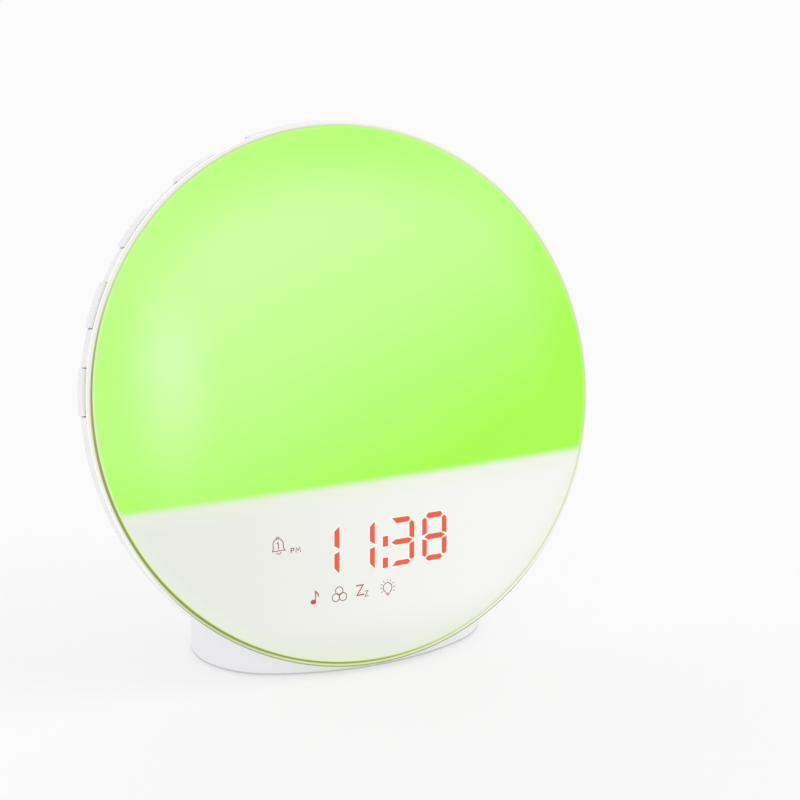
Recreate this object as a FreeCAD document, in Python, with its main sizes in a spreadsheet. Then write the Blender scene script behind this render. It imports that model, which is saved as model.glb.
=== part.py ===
import FreeCAD, Part
import math
import os

import Sketcher
from FreeCAD import Placement, Rotation, Vector

# Sunrise alarm clock: a round lit face that leans back on an oval foot.
# Millimetres and degrees. The origin is the middle of the foot's underside, +Z is up and the face looks along -Y.
# Pieces of the head are drawn in the face's own frame: X to the right, Y up the face, Z out of the face.

SIZES = {
    # How the head stands
    "face_lean": 15.3,
    "ring_lift": 2.39,
    "ring_overhang": 2.05,
    "head_floor_wall": 1.4,
    # Milky front lens
    "lens_radius": 88.5,
    "lens_crown": 8.0,
    "lens_wall": 2.0,
    "lens_edge": 1.0,
    "lens_round": 0.5,
    "skirt_wall": 1.6,
    "skirt_depth": 3.0,
    # Clear ring round the lens
    "edge_ring_width": 1.3,
    "edge_ring_height": 1.6,
    "edge_web_width": 2.7,
    "edge_web_drop": 0.5,
    "edge_round": 0.4,
    # White band that holds the buttons
    "band_inset": 0.4,
    "band_wall": 2.4,
    "band_depth": 8.4,
    "band_ledge": 0.8,
    # Rear shell
    "shell_wall": 2.4,
    "shoulder_depth": 11.5,
    "shoulder_drop": 0.7,
    "shoulder_round": 10.0,
    "bowl_radius": 100.0,
    "back_radius": 60.0,
    "rear_depth": 42.1,
    "back_round": 4.0,
    # Clearances
    "seat_gap": 0.1,
    "piece_gap": 0.2,
    "button_gap": 0.3,
    "foot_gap": 0.25,
    "cut_past": 1.0,
    # Buttons
    "button_angle": 9.6,
    "button_first": 7.2,
    "button_pitch": 18.0,
    "snooze_angle": 30.2,
    "button_front": 3.2,
    "button_rise": 1.2,
    "button_round": 0.5,
    "lip_reach": 1.5,
    "lip_wall": 1.6,
    "button_travel": 0.35,
    "stem_radius": 1.0,
    "stem_length": 3.2,
    "stem_depth": 6.0,
    # Push switches and their boards
    "switch_length": 6.0,
    "switch_reach": 4.5,
    "switch_height": 3.0,
    "switch_mouth": 1.6,
    "board_wall": 1.2,
    "side_board_angle": 64.0,
    "switch_board_width": 7.3,
    "top_board_angle": 28.0,
    "top_switch_angle": 9.0,
    # Light box, white inside
    "tray_rim_drop": 0.2,
    "tray_rim_wall": 1.0,
    "tray_rim_width": 7.5,
    "tray_slope": 10.5,
    "tray_floor_depth": 20.0,
    "tray_wall": 1.2,
    "divider_drop": 28.9,
    "divider_wall": 1.6,
    "divider_gap": 0.6,
    # Lamp board
    "lamp_board_gap": 2.0,
    "lamp_board_wall": 1.4,
    "lamp_size": 5.0,
    "lamp_height": 1.6,
    "lamp_spacing": 19.0,
    "lamp_margin": 6.0,
    # Display block
    "display_front": 1.2,
    "display_depth": 6.5,
    "display_left": 36.5,
    "display_right": 29.5,
    "display_top": 40.5,
    "display_middle": 60.0,
    "icon_row_left": 24.0,
    "icon_row_right": 8.0,
    "icon_row_bottom": 68.0,
    "well_gap": 0.05,
    "digit_drop": 50.2,
    "digit_width": 9.2,
    "digit_height": 15.6,
    "digit_slant": 4.0,
    "stroke": 1.8,
    "stroke_gap": 0.45,
    "digit_one_at": -16.4,
    "digit_two_at": -3.6,
    "digit_three_at": 11.2,
    "digit_four_at": 23.1,
    "colon_at": 4.8,
    "colon_rise": 3.6,
    "colon_drop": 53.0,
    "colon_height": 3.4,
    "icon_radius": 3.0,
    "icon_drop": 64.7,
    "bell_at": -32.0,
    "bell_drop": 45.6,
    "letters_at": -26.8,
    "letters_drop": 47.7,
    "letters_width": 4.2,
    "letters_height": 3.0,
    "note_at": -21.0,
    "rings_at": -13.0,
    "sleep_at": -5.0,
    "bulb_at": 4.6,
    "pillar_radius": 2.4,
    "pillar_left": 33.5,
    "pillar_right": 26.5,
    "pillar_drop": 54.0,
    # Speaker
    "speaker_rise": 12.0,
    "speaker_radius": 28.6,
    "speaker_screw_circle": 26.2,
    "speaker_hole": 22.6,
    "gasket_wall": 1.4,
    "basket_wall": 1.2,
    "basket_depth": 7.2,
    "magnet_radius": 16.0,
    "magnet_bore": 8.6,
    "magnet_height": 3.5,
    "yoke_wall": 1.5,
    "pole_radius": 5.2,
    "coil_radius": 6.2,
    "coil_wall": 0.6,
    "coil_height": 5.4,
    "coil_clear": 1.3,
    "cone_radius": 19.2,
    "cone_wall": 0.6,
    "cone_depth": 4.0,
    "cone_drop": 2.3,
    "cap_rise": 1.6,
    "roll_wall": 0.5,
    "grille_pitch": 4.2,
    "grille_hole": 0.95,
    "grille_rings": 5,
    # Main board
    "main_width": 76.0,
    "main_height": 40.0,
    "main_drop": 38.0,
    "main_standoff": 1.4,
    "main_wall": 1.4,
    "main_screw_inset": 4.0,
    "main_post_radius": 2.6,
    "processor_side": 12.0,
    "processor_wall": 1.6,
    "amplifier_side": 6.0,
    "amplifier_wall": 1.4,
    "wireless_width": 16.0,
    "wireless_height": 22.0,
    "wireless_wall": 3.0,
    "capacitor_radius": 4.0,
    "capacitor_height": 9.0,
    # Screws
    "case_screw_inset": 6.7,
    "case_post_radius": 3.1,
    "case_post_end": 13.0,
    "case_floor_wall": 2.2,
    "case_well_radius": 3.2,
    "boss_wall": 1.4,
    "screw_radius": 1.1,
    "screw_head_radius": 2.3,
    "screw_head_height": 1.4,
    "screw_fit": 0.05,
    "screw_through": 0.2,
    # Foot
    "foot_half_width": 51.4,
    "foot_half_depth": 32.3,
    "foot_end_radius": 27.0,
    "foot_lift": 0.8,
    "foot_height": 20.5,
    "foot_wall": 2.4,
    "foot_round": 3.0,
    "pad_wall": 1.2,
    "plate_wall": 2.0,
    "pad_inset": 1.0,
    "foot_screw_across": 36.0,
    "foot_screw_along": 12.0,
    "foot_boss_radius": 3.4,
    "neck_screw_across": 12.0,
    "neck_screw_forward": 20.5,
    "neck_boss_height": 9.0,
    "screw_grip": 6.0,
    # Power inlet
    "jack_width": 9.0,
    "jack_length": 14.0,
    "jack_height": 11.0,
    "jack_bore": 3.2,
    "jack_bore_depth": 9.6,
    "jack_pin_radius": 1.05,
    "jack_pin_back": 3.0,
    "inlet_radius": 4.4,
    "inlet_board_width": 16.0,
    "inlet_board_length": 20.0,
    "inlet_board_lift": 0.4,
    "lead_hole_radius": 3.4,
    "lead_hole_back": 5.0,
    "lead_reach": 12.0,
    "top_lead_across": 13.0,
    # Small parts and wires
    "cell_radius": 10.0,
    "cell_height": 3.2,
    "holder_wall": 1.2,
    "wire_radius": 0.6,
    "wire_spacing": 3.0,
    "bend_radius": 4.0,
    "bundle_radius": 0.8,
    "connector_width": 12.0,
    "connector_wall": 4.0,
    "connector_drop": 22.0,
    "ribbon_width": 14.0,
    "ribbon_wall": 0.4,
    "ribbon_drop": 50.0,
    "slot_gap": 0.3,
}

doc = FreeCAD.newDocument("SunriseAlarmClock")
sheet = doc.addObject("Spreadsheet::Sheet", "Sizes")
for row, (alias, number) in enumerate(SIZES.items(), start=1):
    sheet.set(f"A{row}", alias)
    sheet.set(f"B{row}", str(number))
    sheet.setAlias(f"B{row}", alias)
doc.recompute()


class Size:
    """A length: its value now, and the expression that keeps it bound to the sheet."""

    def __init__(self, value, text):
        self.value = value
        self.text = text

    def join(self, other, sign, value):
        return Size(value, f"({self.text} {sign} {size(other).text})")

    def __add__(self, other):
        return self.join(other, "+", self.value + size(other).value)

    def __sub__(self, other):
        return self.join(other, "-", self.value - size(other).value)

    def __mul__(self, other):
        return self.join(other, "*", self.value * size(other).value)

    def __truediv__(self, other):
        return self.join(other, "/", self.value / size(other).value)

    def __neg__(self):
        return size(0) - self

    def root(self):
        return Size(math.sqrt(self.value), f"sqrt({self.text})")


def size(number):
    if isinstance(number, Size):
        return number
    return Size(float(number), repr(float(number)))


class Sheet:
    """Gives each cell of the sheet as a Size."""

    def __getattr__(self, alias):
        return Size(float(sheet.get(alias)), f"Sizes.{alias}")


d = Sheet()


def bind(thing, **sizes):
    for name, length in sizes.items():
        setattr(thing, name, size(length).value)
        if isinstance(length, Size):
            thing.setExpression(name, length.text)


def at(x=0.0, y=0.0, z=0.0, turn=Rotation()):
    return Placement(Vector(size(x).value, size(y).value, size(z).value), turn)


def about_z(degrees):
    return Placement(Vector(), Rotation(Vector(0, 0, 1), degrees))


# The face's frame: the middle of the lens's edge plane, with Z out of the face.
# The lowest point of the clear ring keeps its place over the table and in front of the foot.
LEAN = d.face_lean.value
RING_RADIUS = d.lens_radius + d.piece_gap + d.edge_ring_width
FACE_HEIGHT = RING_RADIUS * math.cos(math.radians(LEAN)) + d.ring_lift
FACE_FORWARD = d.foot_half_depth + d.ring_overhang - RING_RADIUS * math.sin(math.radians(LEAN))
HEAD = at(0, -FACE_FORWARD, FACE_HEIGHT, Rotation(Vector(1, 0, 0), 90 - LEAN))
FORWARD = Rotation()
BACKWARD = Rotation(Vector(1, 0, 0), 180)
made = []


def keep(thing, label, place=None):
    """Names a finished sub-part and puts it in its place."""
    thing.Label = label
    if place is not None:
        thing.Placement = place
    made.append(thing)
    return thing


# Drawing tools

def corner(sketch, geometry, end, x, y, name):
    for kind, length in (("DistanceX", x), ("DistanceY", y)):
        index = sketch.addConstraint(Sketcher.Constraint(kind, geometry, end, size(length).value))
        if isinstance(length, Size):
            sketch.renameConstraint(index, f"{name}_{kind}")
            sketch.setExpression(f"Constraints.{name}_{kind}", length.text)


def arc_edge(start, end, radius):
    """The short arc from start to end; a positive radius has its centre on the left of the way there."""
    chord = end - start
    half = chord.Length / 2
    side = Vector(-chord.y, chord.x, 0).normalize() * math.copysign(1, radius)
    centre = start + chord * 0.5 + side * math.sqrt(max(radius * radius - half * half, 0))
    first, last = (start, end) if radius > 0 else (end, start)
    angles = [math.atan2(p.y - centre.y, p.x - centre.x) for p in (first, last)]
    if angles[1] < angles[0]:
        angles[1] += 2 * math.pi
    return Part.ArcOfCircle(Part.Circle(centre, Vector(0, 0, 1), abs(radius)), *angles)


def outline(body, plane, corners):
    """A closed sketch through corners (x, y) or (x, y, radius of the arc that comes to it)."""
    sketch = body.newObject("Sketcher::SketchObject", body.Name + "_outline")
    origin_plane = [f for f in body.Origin.OriginFeatures if f.Role == plane]
    sketch.AttachmentSupport = [(origin_plane[0], "")]
    sketch.MapMode = "FlatFace"
    points = [Vector(size(c[0]).value, size(c[1]).value, 0) for c in corners]
    ends = []
    for number, here in enumerate(corners):
        start = points[number - 1]
        end = points[number]
        if len(here) == 3:
            radius = size(here[2])
            index = sketch.addGeometry(arc_edge(start, end, radius.value))
            ends.append((index, 1, 2) if radius.value > 0 else (index, 2, 1))
        else:
            index = sketch.addGeometry(Part.LineSegment(start, end))
            ends.append((index, 1, 2))
    for number, here in enumerate(corners):
        index, _, last = ends[number]
        following, first, _ = ends[(number + 1) % len(corners)]
        sketch.addConstraint(Sketcher.Constraint("Coincident", index, last, following, first))
        corner(sketch, index, last, here[0], here[1], f"p{number}")
        if len(here) == 3:
            radius = size(here[2])
            fixed = sketch.addConstraint(Sketcher.Constraint("Radius", index, abs(radius.value)))
            sketch.renameConstraint(fixed, f"p{number}_radius")
            sign = "" if radius.value > 0 else "-"
            sketch.setExpression(f"Constraints.p{number}_radius", f"{sign}{radius.text}")
    return sketch


def new_body(name):
    return doc.addObject("PartDesign::Body", name)


def revolved(name, corners, angle=None):
    """Turns an outline (radius, height) about Z: the whole way, or through angle degrees centred on X."""
    body = new_body(name)
    sketch = outline(body, "XZ_Plane", corners)
    turn = body.newObject("PartDesign::Revolution", name + "_turn")
    turn.Profile = sketch
    turn.ReferenceAxis = (sketch, ["V_Axis"])
    if angle is None:
        turn.Angle = 360
    else:
        turn.Midplane = True
        bind(turn, Angle=angle)
    return body


def padded(name, corners, height):
    """Pushes an outline drawn in the XY plane up by a height."""
    body = new_body(name)
    sketch = outline(body, "XY_Plane", corners)
    pad = body.newObject("PartDesign::Pad", name + "_pad")
    pad.Profile = sketch
    bind(pad, Length=height)
    return body


def block(name, low, spans):
    """A box from its lowest corner, with its three sides."""
    box = doc.addObject("Part::Box", name)
    bind(box, Length=spans[0], Width=spans[1], Height=spans[2])
    box.Placement = at(*low)
    return box


def rod(name, radius, length, base=(0, 0, 0), turn=FORWARD):
    """A round bar that starts at base and runs along Z, turned as asked."""
    bar = doc.addObject("Part::Cylinder", name)
    bind(bar, Radius=radius, Height=length)
    bar.Placement = at(*base, turn)
    return bar


def joined(name, pieces):
    whole = doc.addObject("Part::MultiFuse", name)
    whole.Shapes = pieces
    return whole


def cut(name, base, tools):
    result = doc.addObject("Part::Cut", name)
    result.Base = base
    result.Tool = tools[0] if len(tools) == 1 else joined(name + "_tools", tools)
    return result


def shared(name, first, second):
    result = doc.addObject("Part::Common", name)
    result.Base = first
    result.Tool = second
    return result


def group(name, pieces):
    """Separate solids that share one node."""
    whole = doc.addObject("Part::Compound", name)
    whole.Links = pieces
    return whole


def moved(thing, place):
    thing.Placement = place.multiply(thing.Placement)
    return thing


def rounded(body, name, radius, wanted):
    """Rounds the edges of a body's last feature that wanted(edge) picks."""
    doc.recompute()
    base = body.Tip
    edges = [f"Edge{i}" for i, edge in enumerate(base.Shape.Edges, start=1) if wanted(edge)]
    fillet = body.newObject("PartDesign::Fillet", name)
    fillet.Base = (base, edges)
    bind(fillet, Radius=radius)
    return fillet


def lies_at(edge, height=None, radius=None):
    """Whether the whole edge lies at this height and this distance from Z."""
    near = 0.001
    if edge.Degenerated:
        return False
    for point in edge.discretize(5):
        if height is not None and abs(point.z - height.value) > near:
            return False
        if radius is not None and abs(math.hypot(point.x, point.y) - radius.value) > near:
            return False
    return True


# Shared places, all in the face's frame. Depths behind the lens's edge plane are negative heights.
SPHERE = (d.lens_radius * d.lens_radius + d.lens_crown * d.lens_crown) / (d.lens_crown * 2)
INNER_SPHERE = SPHERE - d.lens_wall
LENS_BACK = -d.lens_edge
SKIRT_END = -d.skirt_depth
SKIRT_OUTER = d.lens_radius - d.edge_web_width
SKIRT_INNER = SKIRT_OUTER - d.skirt_wall
EDGE_INNER = d.lens_radius + d.piece_gap
EDGE_OUTER = RING_RADIUS
EDGE_BACK = -(d.seat_gap + d.edge_ring_height)
WEB_TOP = LENS_BACK - d.seat_gap
WEB_BACK = EDGE_BACK - d.edge_web_drop
WEB_INNER = SKIRT_OUTER + d.piece_gap
WEB_OUTER = d.lens_radius - d.edge_web_drop
BAND_OUTER = EDGE_OUTER - d.band_inset
BAND_INNER = BAND_OUTER - d.band_wall
BAND_TOP = EDGE_BACK - d.seat_gap
BAND_LEDGE = WEB_BACK - d.seat_gap
BAND_BACK = -d.band_depth
SHELL_FRONT = BAND_BACK - d.seat_gap / 2
SHOULDER = BAND_OUTER - d.shoulder_drop
BACK = -d.rear_depth
BACK_INSIDE = BACK + d.shell_wall
BUTTON_OUTER = BAND_OUTER + d.button_rise
BUTTON_FRONT = -(d.button_front + d.button_gap)
BUTTON_BACK = SHELL_FRONT + d.button_gap
LIP_OUTER = BAND_INNER - d.button_gap
LIP_INNER = LIP_OUTER - d.lip_wall
STEM_TIP = LIP_INNER - d.stem_length
SWITCH_FACE = STEM_TIP + (d.switch_mouth - d.button_travel - d.button_gap)
BOARD_FRONT = -(d.stem_depth + d.switch_height / 2)
BOARD_OUTER = SWITCH_FACE + d.board_wall / 2
BOARD_INNER = BOARD_OUTER - d.switch_board_width
TRAY_RIM = SKIRT_END - d.tray_rim_drop
TRAY_RIM_BACK = TRAY_RIM - d.tray_rim_wall
TRAY_OUTER = SKIRT_INNER - d.piece_gap
TRAY_INNER = TRAY_OUTER - d.tray_rim_width
TRAY_RADIUS = TRAY_INNER - d.tray_slope
LAMP_BOARD_RADIUS = TRAY_RADIUS - d.lamp_board_gap
CASE_SCREW_CIRCLE = BAND_INNER - d.case_screw_inset
TRAY_FLOOR = -d.tray_floor_depth
TRAY_BACK = TRAY_FLOOR - d.tray_wall
POST_START = TRAY_RIM_BACK - d.piece_gap
POST_END = -d.case_post_end
CASE_FLOOR = POST_END - d.piece_gap
CASE_FLOOR_BACK = CASE_FLOOR - d.case_floor_wall
CASE_SCREW_ANGLES = [70, 110, 198, 342, 232, 308]
SIDE_BUTTONS = [1, 2, 3, 4]


def across_sphere(sphere, radius):
    """Height of the lens's dome at a distance from its axis."""
    return (sphere * sphere - radius * radius).root() - (SPHERE - d.lens_crown)


def arc_gap(radius, gap):
    """The angle, in degrees, that a gap takes up at a radius."""
    return gap / radius * math.degrees(1)


def button_turn(number):
    return (d.button_first + d.button_pitch * (number - 1)).value



def lens_profile():
    return [
        (0, d.lens_crown - d.lens_wall),
        (SKIRT_INNER, across_sphere(INNER_SPHERE, SKIRT_INNER), -INNER_SPHERE),
        (SKIRT_INNER, SKIRT_END),
        (SKIRT_OUTER, SKIRT_END),
        (SKIRT_OUTER, LENS_BACK),
        (d.lens_radius, LENS_BACK),
        (d.lens_radius, 0),
        (0, d.lens_crown, SPHERE),
    ]


def head_profile(grow):
    """The head's outside, grown by a gap, and the open space in front of the face."""
    return [
        (0, d.foot_half_depth),
        (0, BACK - grow),
        (d.back_radius + grow, BACK - grow),
        (SHOULDER + grow, -d.shoulder_depth, d.bowl_radius + grow),
        (BAND_OUTER + grow, SHELL_FRONT),
        (BAND_OUTER + grow, BAND_TOP),
        (EDGE_OUTER + grow, BAND_TOP),
        (EDGE_OUTER + grow, d.foot_half_depth),
    ]


def world_slab(name, low, height):
    """A level slab at a height above the table, seen from the face's frame."""
    wide = EDGE_OUTER * 2
    slab = block(name, (-wide / 2, -wide / 2, low), (wide, wide, height))
    return moved(slab, HEAD.inverse())


def sector(name, inner, outer, low, high, angle):
    return revolved(name, [(inner, low), (outer, low), (outer, high), (inner, high)], angle)


def turned(thing, degrees):
    return moved(thing, about_z(degrees))


def on_circle(radius, degrees):
    angle = math.radians(degrees)
    return radius * math.cos(angle), radius * math.sin(angle)


PLATE_TOP = d.pad_wall + d.plate_wall
HEAD_FLOOR = PLATE_TOP + d.seat_gap


# Front pieces

def front_lens():
    body = revolved("front_lens", lens_profile())
    rounded(body, "front_lens_round", d.lens_round, lambda e: lies_at(e, size(0), d.lens_radius))
    return keep(body, "front_lens", HEAD)


def edge_ring():
    top = -d.seat_gap
    body = revolved("edge_ring", [
        (WEB_INNER, WEB_BACK),
        (WEB_OUTER, WEB_BACK),
        (WEB_OUTER, EDGE_BACK),
        (EDGE_OUTER, EDGE_BACK),
        (EDGE_OUTER, top),
        (EDGE_INNER, top),
        (EDGE_INNER, WEB_TOP),
        (WEB_INNER, WEB_TOP),
    ])
    rounded(body, "edge_ring_round", d.edge_round, lambda e: lies_at(e, top, EDGE_OUTER))
    return keep(body, "edge_ring", HEAD)


def button_slot(name, angle, turn):
    """The notch that a button slides in, open at the band's back."""
    wide = angle + arc_gap(BAND_OUTER, d.button_gap + d.button_travel / 3) * 2
    slot = sector(name, BAND_INNER - d.cut_past, BAND_OUTER + d.cut_past,
                  BAND_BACK - d.cut_past, -d.button_front, wide)
    return turned(slot, turn)


def button_band():
    ledge_back = BAND_LEDGE - d.band_ledge
    notch = WEB_OUTER + d.seat_gap
    ring = revolved("band_ring", [
        (BAND_INNER, BAND_BACK),
        (BAND_OUTER, BAND_BACK),
        (BAND_OUTER, BAND_TOP),
        (notch, BAND_TOP),
        (notch, BAND_LEDGE),
        (WEB_INNER, BAND_LEDGE),
        (WEB_INNER, ledge_back),
        (BAND_INNER, ledge_back),
    ])
    inside = rod("band_inside", BAND_OUTER, BAND_LEDGE - BAND_BACK, (0, 0, BAND_BACK))
    level = world_slab("band_level", HEAD_FLOOR, d.head_floor_wall)
    pieces = [ring, shared("band_floor", inside, level)]
    holes = [world_slab("band_below", -EDGE_OUTER, EDGE_OUTER + HEAD_FLOOR)]
    web = d.case_post_radius * 1.2
    for number, degrees in enumerate(CASE_SCREW_ANGLES, start=1):
        middle = (CASE_SCREW_CIRCLE, 0, POST_END)
        post = rod(f"band_post_{number}", d.case_post_radius, POST_START - POST_END, middle)
        rib = block(f"band_rib_{number}", (CASE_SCREW_CIRCLE, -web / 2, BAND_BACK),
                    (BAND_INNER + d.band_wall / 2 - CASE_SCREW_CIRCLE, web, POST_START - BAND_BACK))
        pilot = rod(f"band_pilot_{number}", d.screw_radius + d.screw_fit, d.screw_grip + d.cut_past,
                    (CASE_SCREW_CIRCLE, 0, POST_END - d.cut_past))
        pieces += [turned(post, degrees), turned(rib, degrees)]
        holes.append(turned(pilot, degrees))
    for number in SIDE_BUTTONS:
        turn = button_turn(number)
        holes.append(button_slot(f"band_slot_right_{number}", d.button_angle, turn))
        holes.append(button_slot(f"band_slot_left_{number}", d.button_angle, 180 - turn))
    holes.append(button_slot("band_slot_top", d.snooze_angle, 90))
    band = cut("button_band", joined("band_solid", pieces), holes)
    return keep(band, "button_band", HEAD)


# Rear shell

def speaker_middle():
    return (0, d.speaker_rise, 0)


def grille_holes():
    holes = []
    for ring in range(int(d.grille_rings.value) + 1):
        count = max(6 * ring, 1)
        for number in range(count):
            x, y = on_circle((d.grille_pitch * ring).value, 360 * number / count)
            hole = rod(f"grille_{ring}_{number}", d.grille_hole, d.shell_wall + d.cut_past * 2,
                       (0, 0, BACK - d.cut_past))
            hole.Placement = at(x, d.speaker_rise.value + y, (BACK - d.cut_past).value)
            holes.append(hole)
    return holes


def speaker_screw_places():
    return [(x, d.speaker_rise.value + y)
            for x, y in (on_circle(d.speaker_screw_circle.value, a) for a in (45, 135, 225, 315))]


def rear_shell():
    inside_edge = d.back_radius - d.shell_wall
    shell = revolved("rear_bowl", [
        (0, BACK_INSIDE),
        (0, BACK),
        (d.back_radius, BACK),
        (SHOULDER, -d.shoulder_depth, d.bowl_radius),
        (BAND_OUTER, SHELL_FRONT),
        (BAND_INNER, SHELL_FRONT),
        (SHOULDER - d.shell_wall, -d.shoulder_depth),
        (inside_edge, BACK_INSIDE, -(d.bowl_radius - d.shell_wall)),
    ])
    rounded(shell, "rear_back_round", d.back_round, lambda e: lies_at(e, BACK, d.back_radius))
    rounded(shell, "rear_shoulder_round", d.shoulder_round,
            lambda e: lies_at(e, -d.shoulder_depth, SHOULDER))
    filled = revolved("rear_filled", [
        (0, SHELL_FRONT),
        (0, BACK_INSIDE),
        (inside_edge + d.shell_wall / 2, BACK_INSIDE),
        (SHOULDER - d.shell_wall / 2, -d.shoulder_depth, d.bowl_radius - d.shell_wall / 2),
        (BAND_OUTER - d.shell_wall / 2, SHELL_FRONT),
    ])
    level = world_slab("rear_level", HEAD_FLOOR, d.head_floor_wall)
    bosses = [level]
    holes = [world_slab("rear_below", -EDGE_OUTER, EDGE_OUTER + HEAD_FLOOR)]
    for number, degrees in enumerate(CASE_SCREW_ANGLES, start=1):
        boss = rod(f"rear_boss_{number}", d.case_well_radius + d.boss_wall, CASE_FLOOR - BACK,
                   (CASE_SCREW_CIRCLE, 0, BACK))
        well = rod(f"rear_well_{number}", d.case_well_radius, CASE_FLOOR_BACK - BACK + d.cut_past,
                   (CASE_SCREW_CIRCLE, 0, BACK - d.cut_past))
        through = rod(f"rear_through_{number}", d.screw_radius + d.screw_through,
                      d.case_floor_wall + d.cut_past * 2,
                      (CASE_SCREW_CIRCLE, 0, CASE_FLOOR_BACK - d.cut_past))
        bosses.append(turned(boss, degrees))
        holes += [turned(well, degrees), turned(through, degrees)]
    for side in (-1, 1):
        place = (d.neck_screw_across * side, -d.neck_screw_forward, HEAD_FLOOR)
        boss = rod(f"rear_neck_{side + 2}", d.foot_boss_radius, d.neck_boss_height, place)
        pilot = rod(f"rear_neck_pilot_{side + 2}", d.screw_radius + d.screw_fit,
                    d.screw_grip + d.cut_past, place)
        bosses.append(moved(boss, HEAD.inverse()))
        holes.append(moved(pilot, HEAD.inverse()))
    for number, (x, y) in enumerate(speaker_screw_places(), start=1):
        holes.append(rod(f"rear_speaker_pilot_{number}", d.screw_radius + d.screw_fit,
                         d.shell_wall, (x, y, BACK_INSIDE - d.shell_wall / 2)))
    holes.append(moved(lead_hole("rear_lead_hole"), HEAD.inverse()))
    inner_parts = shared("rear_inner_parts", joined("rear_bosses", bosses), filled)
    solid = joined("rear_solid", [shell, inner_parts])
    rear = cut("rear_shell", solid, holes + grille_holes())
    return keep(rear, "rear_shell", HEAD)


def lead_hole(name):
    """The way up for the supply leads, from the foot into the head."""
    return rod(name, d.lead_hole_radius, d.foot_height + d.foot_wall, (0, d.lead_hole_back, PLATE_TOP))


# Buttons, their switches and boards

def stem(name, degrees):
    bar = rod(name, d.stem_radius, d.stem_length + d.lip_wall / 2, (STEM_TIP, 0, -d.stem_depth),
              Rotation(Vector(0, 1, 0), 90))
    return turned(bar, degrees)


def button(label, angle, turn, stem_turns):
    face = sector(label + "_face", LIP_INNER, BUTTON_OUTER, BUTTON_BACK, BUTTON_FRONT, angle)
    rounded(face, label + "_round", d.button_round, lambda e: lies_at(e, radius=BUTTON_OUTER))
    lip = sector(label + "_lip", LIP_INNER, LIP_OUTER, BUTTON_BACK, BUTTON_FRONT,
                 angle + arc_gap(BAND_OUTER, d.lip_reach) * 2)
    stems = [stem(f"{label}_stem_{i}", a) for i, a in enumerate(stem_turns, start=1)]
    whole = joined(label, [face, lip] + stems)
    return keep(whole, label, HEAD.multiply(about_z(turn)))


def switch(name, degrees):
    low = (SWITCH_FACE - d.switch_reach, -d.switch_length / 2, BOARD_FRONT)
    case = block(name + "_case", low, (d.switch_reach, d.switch_length, d.switch_height))
    mouth = rod(name + "_mouth", d.stem_radius + d.button_gap, d.switch_mouth + d.cut_past,
                (SWITCH_FACE - d.switch_mouth, 0, -d.stem_depth), Rotation(Vector(0, 1, 0), 90))
    return turned(cut(name, case, [mouth]), degrees)


def switch_board(label, angle, turn):
    plate = sector(label, BOARD_INNER, BOARD_OUTER, BOARD_FRONT - d.board_wall, BOARD_FRONT, angle)
    return keep(plate, label, HEAD.multiply(about_z(turn)))


def buttons():
    for side, mirror in (("right", False), ("left", True)):
        switches = []
        for number in SIDE_BUTTONS:
            turn = button_turn(number)
            if mirror:
                turn = 180 - turn
            button(f"{side}_button_{number}", d.button_angle, turn, [0])
            switches.append(switch(f"{side}_switch_{number}", turn))
        keep(group(side + "_switches", switches), side + "_switches", HEAD)
        middle = (button_turn(1) + button_turn(4)) / 2
        switch_board(side + "_switch_board", d.side_board_angle, 180 - middle if mirror else middle)
    reach = d.top_switch_angle.value
    button("snooze_bar", d.snooze_angle, 90, [-reach, reach])
    pair = [switch("top_switch_1", 90 - reach), switch("top_switch_2", 90 + reach)]
    keep(group("top_switches", pair), "top_switches", HEAD)
    switch_board("top_switch_board", d.top_board_angle, 90)


# Light box, lamp board and lamps

def main_screw_places():
    x = d.main_width / 2 - d.main_screw_inset
    y = d.main_height / 2 - d.main_screw_inset
    return [(x * side, y * way - d.main_drop) for side in (-1, 1) for way in (-1, 1)]


def light_box():
    wall = d.tray_wall * 0.7
    tray = revolved("light_tray", [
        (0, TRAY_FLOOR),
        (0, TRAY_BACK),
        (TRAY_RADIUS + wall, TRAY_BACK),
        (TRAY_INNER + wall, TRAY_RIM_BACK),
        (TRAY_OUTER, TRAY_RIM_BACK),
        (TRAY_OUTER, TRAY_RIM),
        (TRAY_INNER, TRAY_RIM),
        (TRAY_RADIUS, TRAY_FLOOR),
    ])
    edge = SKIRT_INNER - d.divider_gap
    dome = INNER_SPHERE - d.divider_gap
    space = revolved("light_space", [
        (0, TRAY_FLOOR - wall / 2),
        (TRAY_RADIUS + wall / 2, TRAY_FLOOR - wall / 2),
        (TRAY_INNER + wall / 2, TRAY_RIM),
        (edge, TRAY_RIM),
        (edge, across_sphere(dome, edge)),
        (0, d.lens_crown - d.lens_wall - d.divider_gap, dome),
    ])
    wide = d.lens_radius * 2
    wall_block = block("divider_block", (-d.lens_radius, -(d.divider_drop + d.divider_wall), TRAY_BACK),
                       (wide, d.divider_wall, d.lens_crown - TRAY_BACK))
    divider = shared("divider", wall_block, space)
    pieces = [tray, divider]
    holes = []
    for number, (x, y) in enumerate(main_screw_places(), start=1):
        pieces.append(rod(f"main_post_{number}", d.main_post_radius, d.main_standoff + d.tray_wall / 2,
                          (x, y, TRAY_BACK - d.main_standoff)))
        holes.append(rod(f"main_pilot_{number}", d.screw_radius + d.screw_fit,
                         d.main_standoff + d.tray_wall + d.cut_past,
                         (x, y, TRAY_BACK - d.main_standoff - d.cut_past)))
    for side, across in (("left", -d.pillar_left), ("right", d.pillar_right)):
        pieces.append(rod(f"pillar_{side}", d.pillar_radius, DISPLAY_BOARD_BACK - TRAY_FLOOR + wall / 2,
                          (across, -d.pillar_drop, TRAY_FLOOR - wall / 2)))
    holes.append(connector("connector_slot", d.slot_gap, d.cut_past))
    holes.append(ribbon("ribbon_slot", d.slot_gap, d.cut_past))
    box = cut("light_box", joined("light_solid", pieces), holes)
    return keep(box, "light_box", HEAD)


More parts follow.
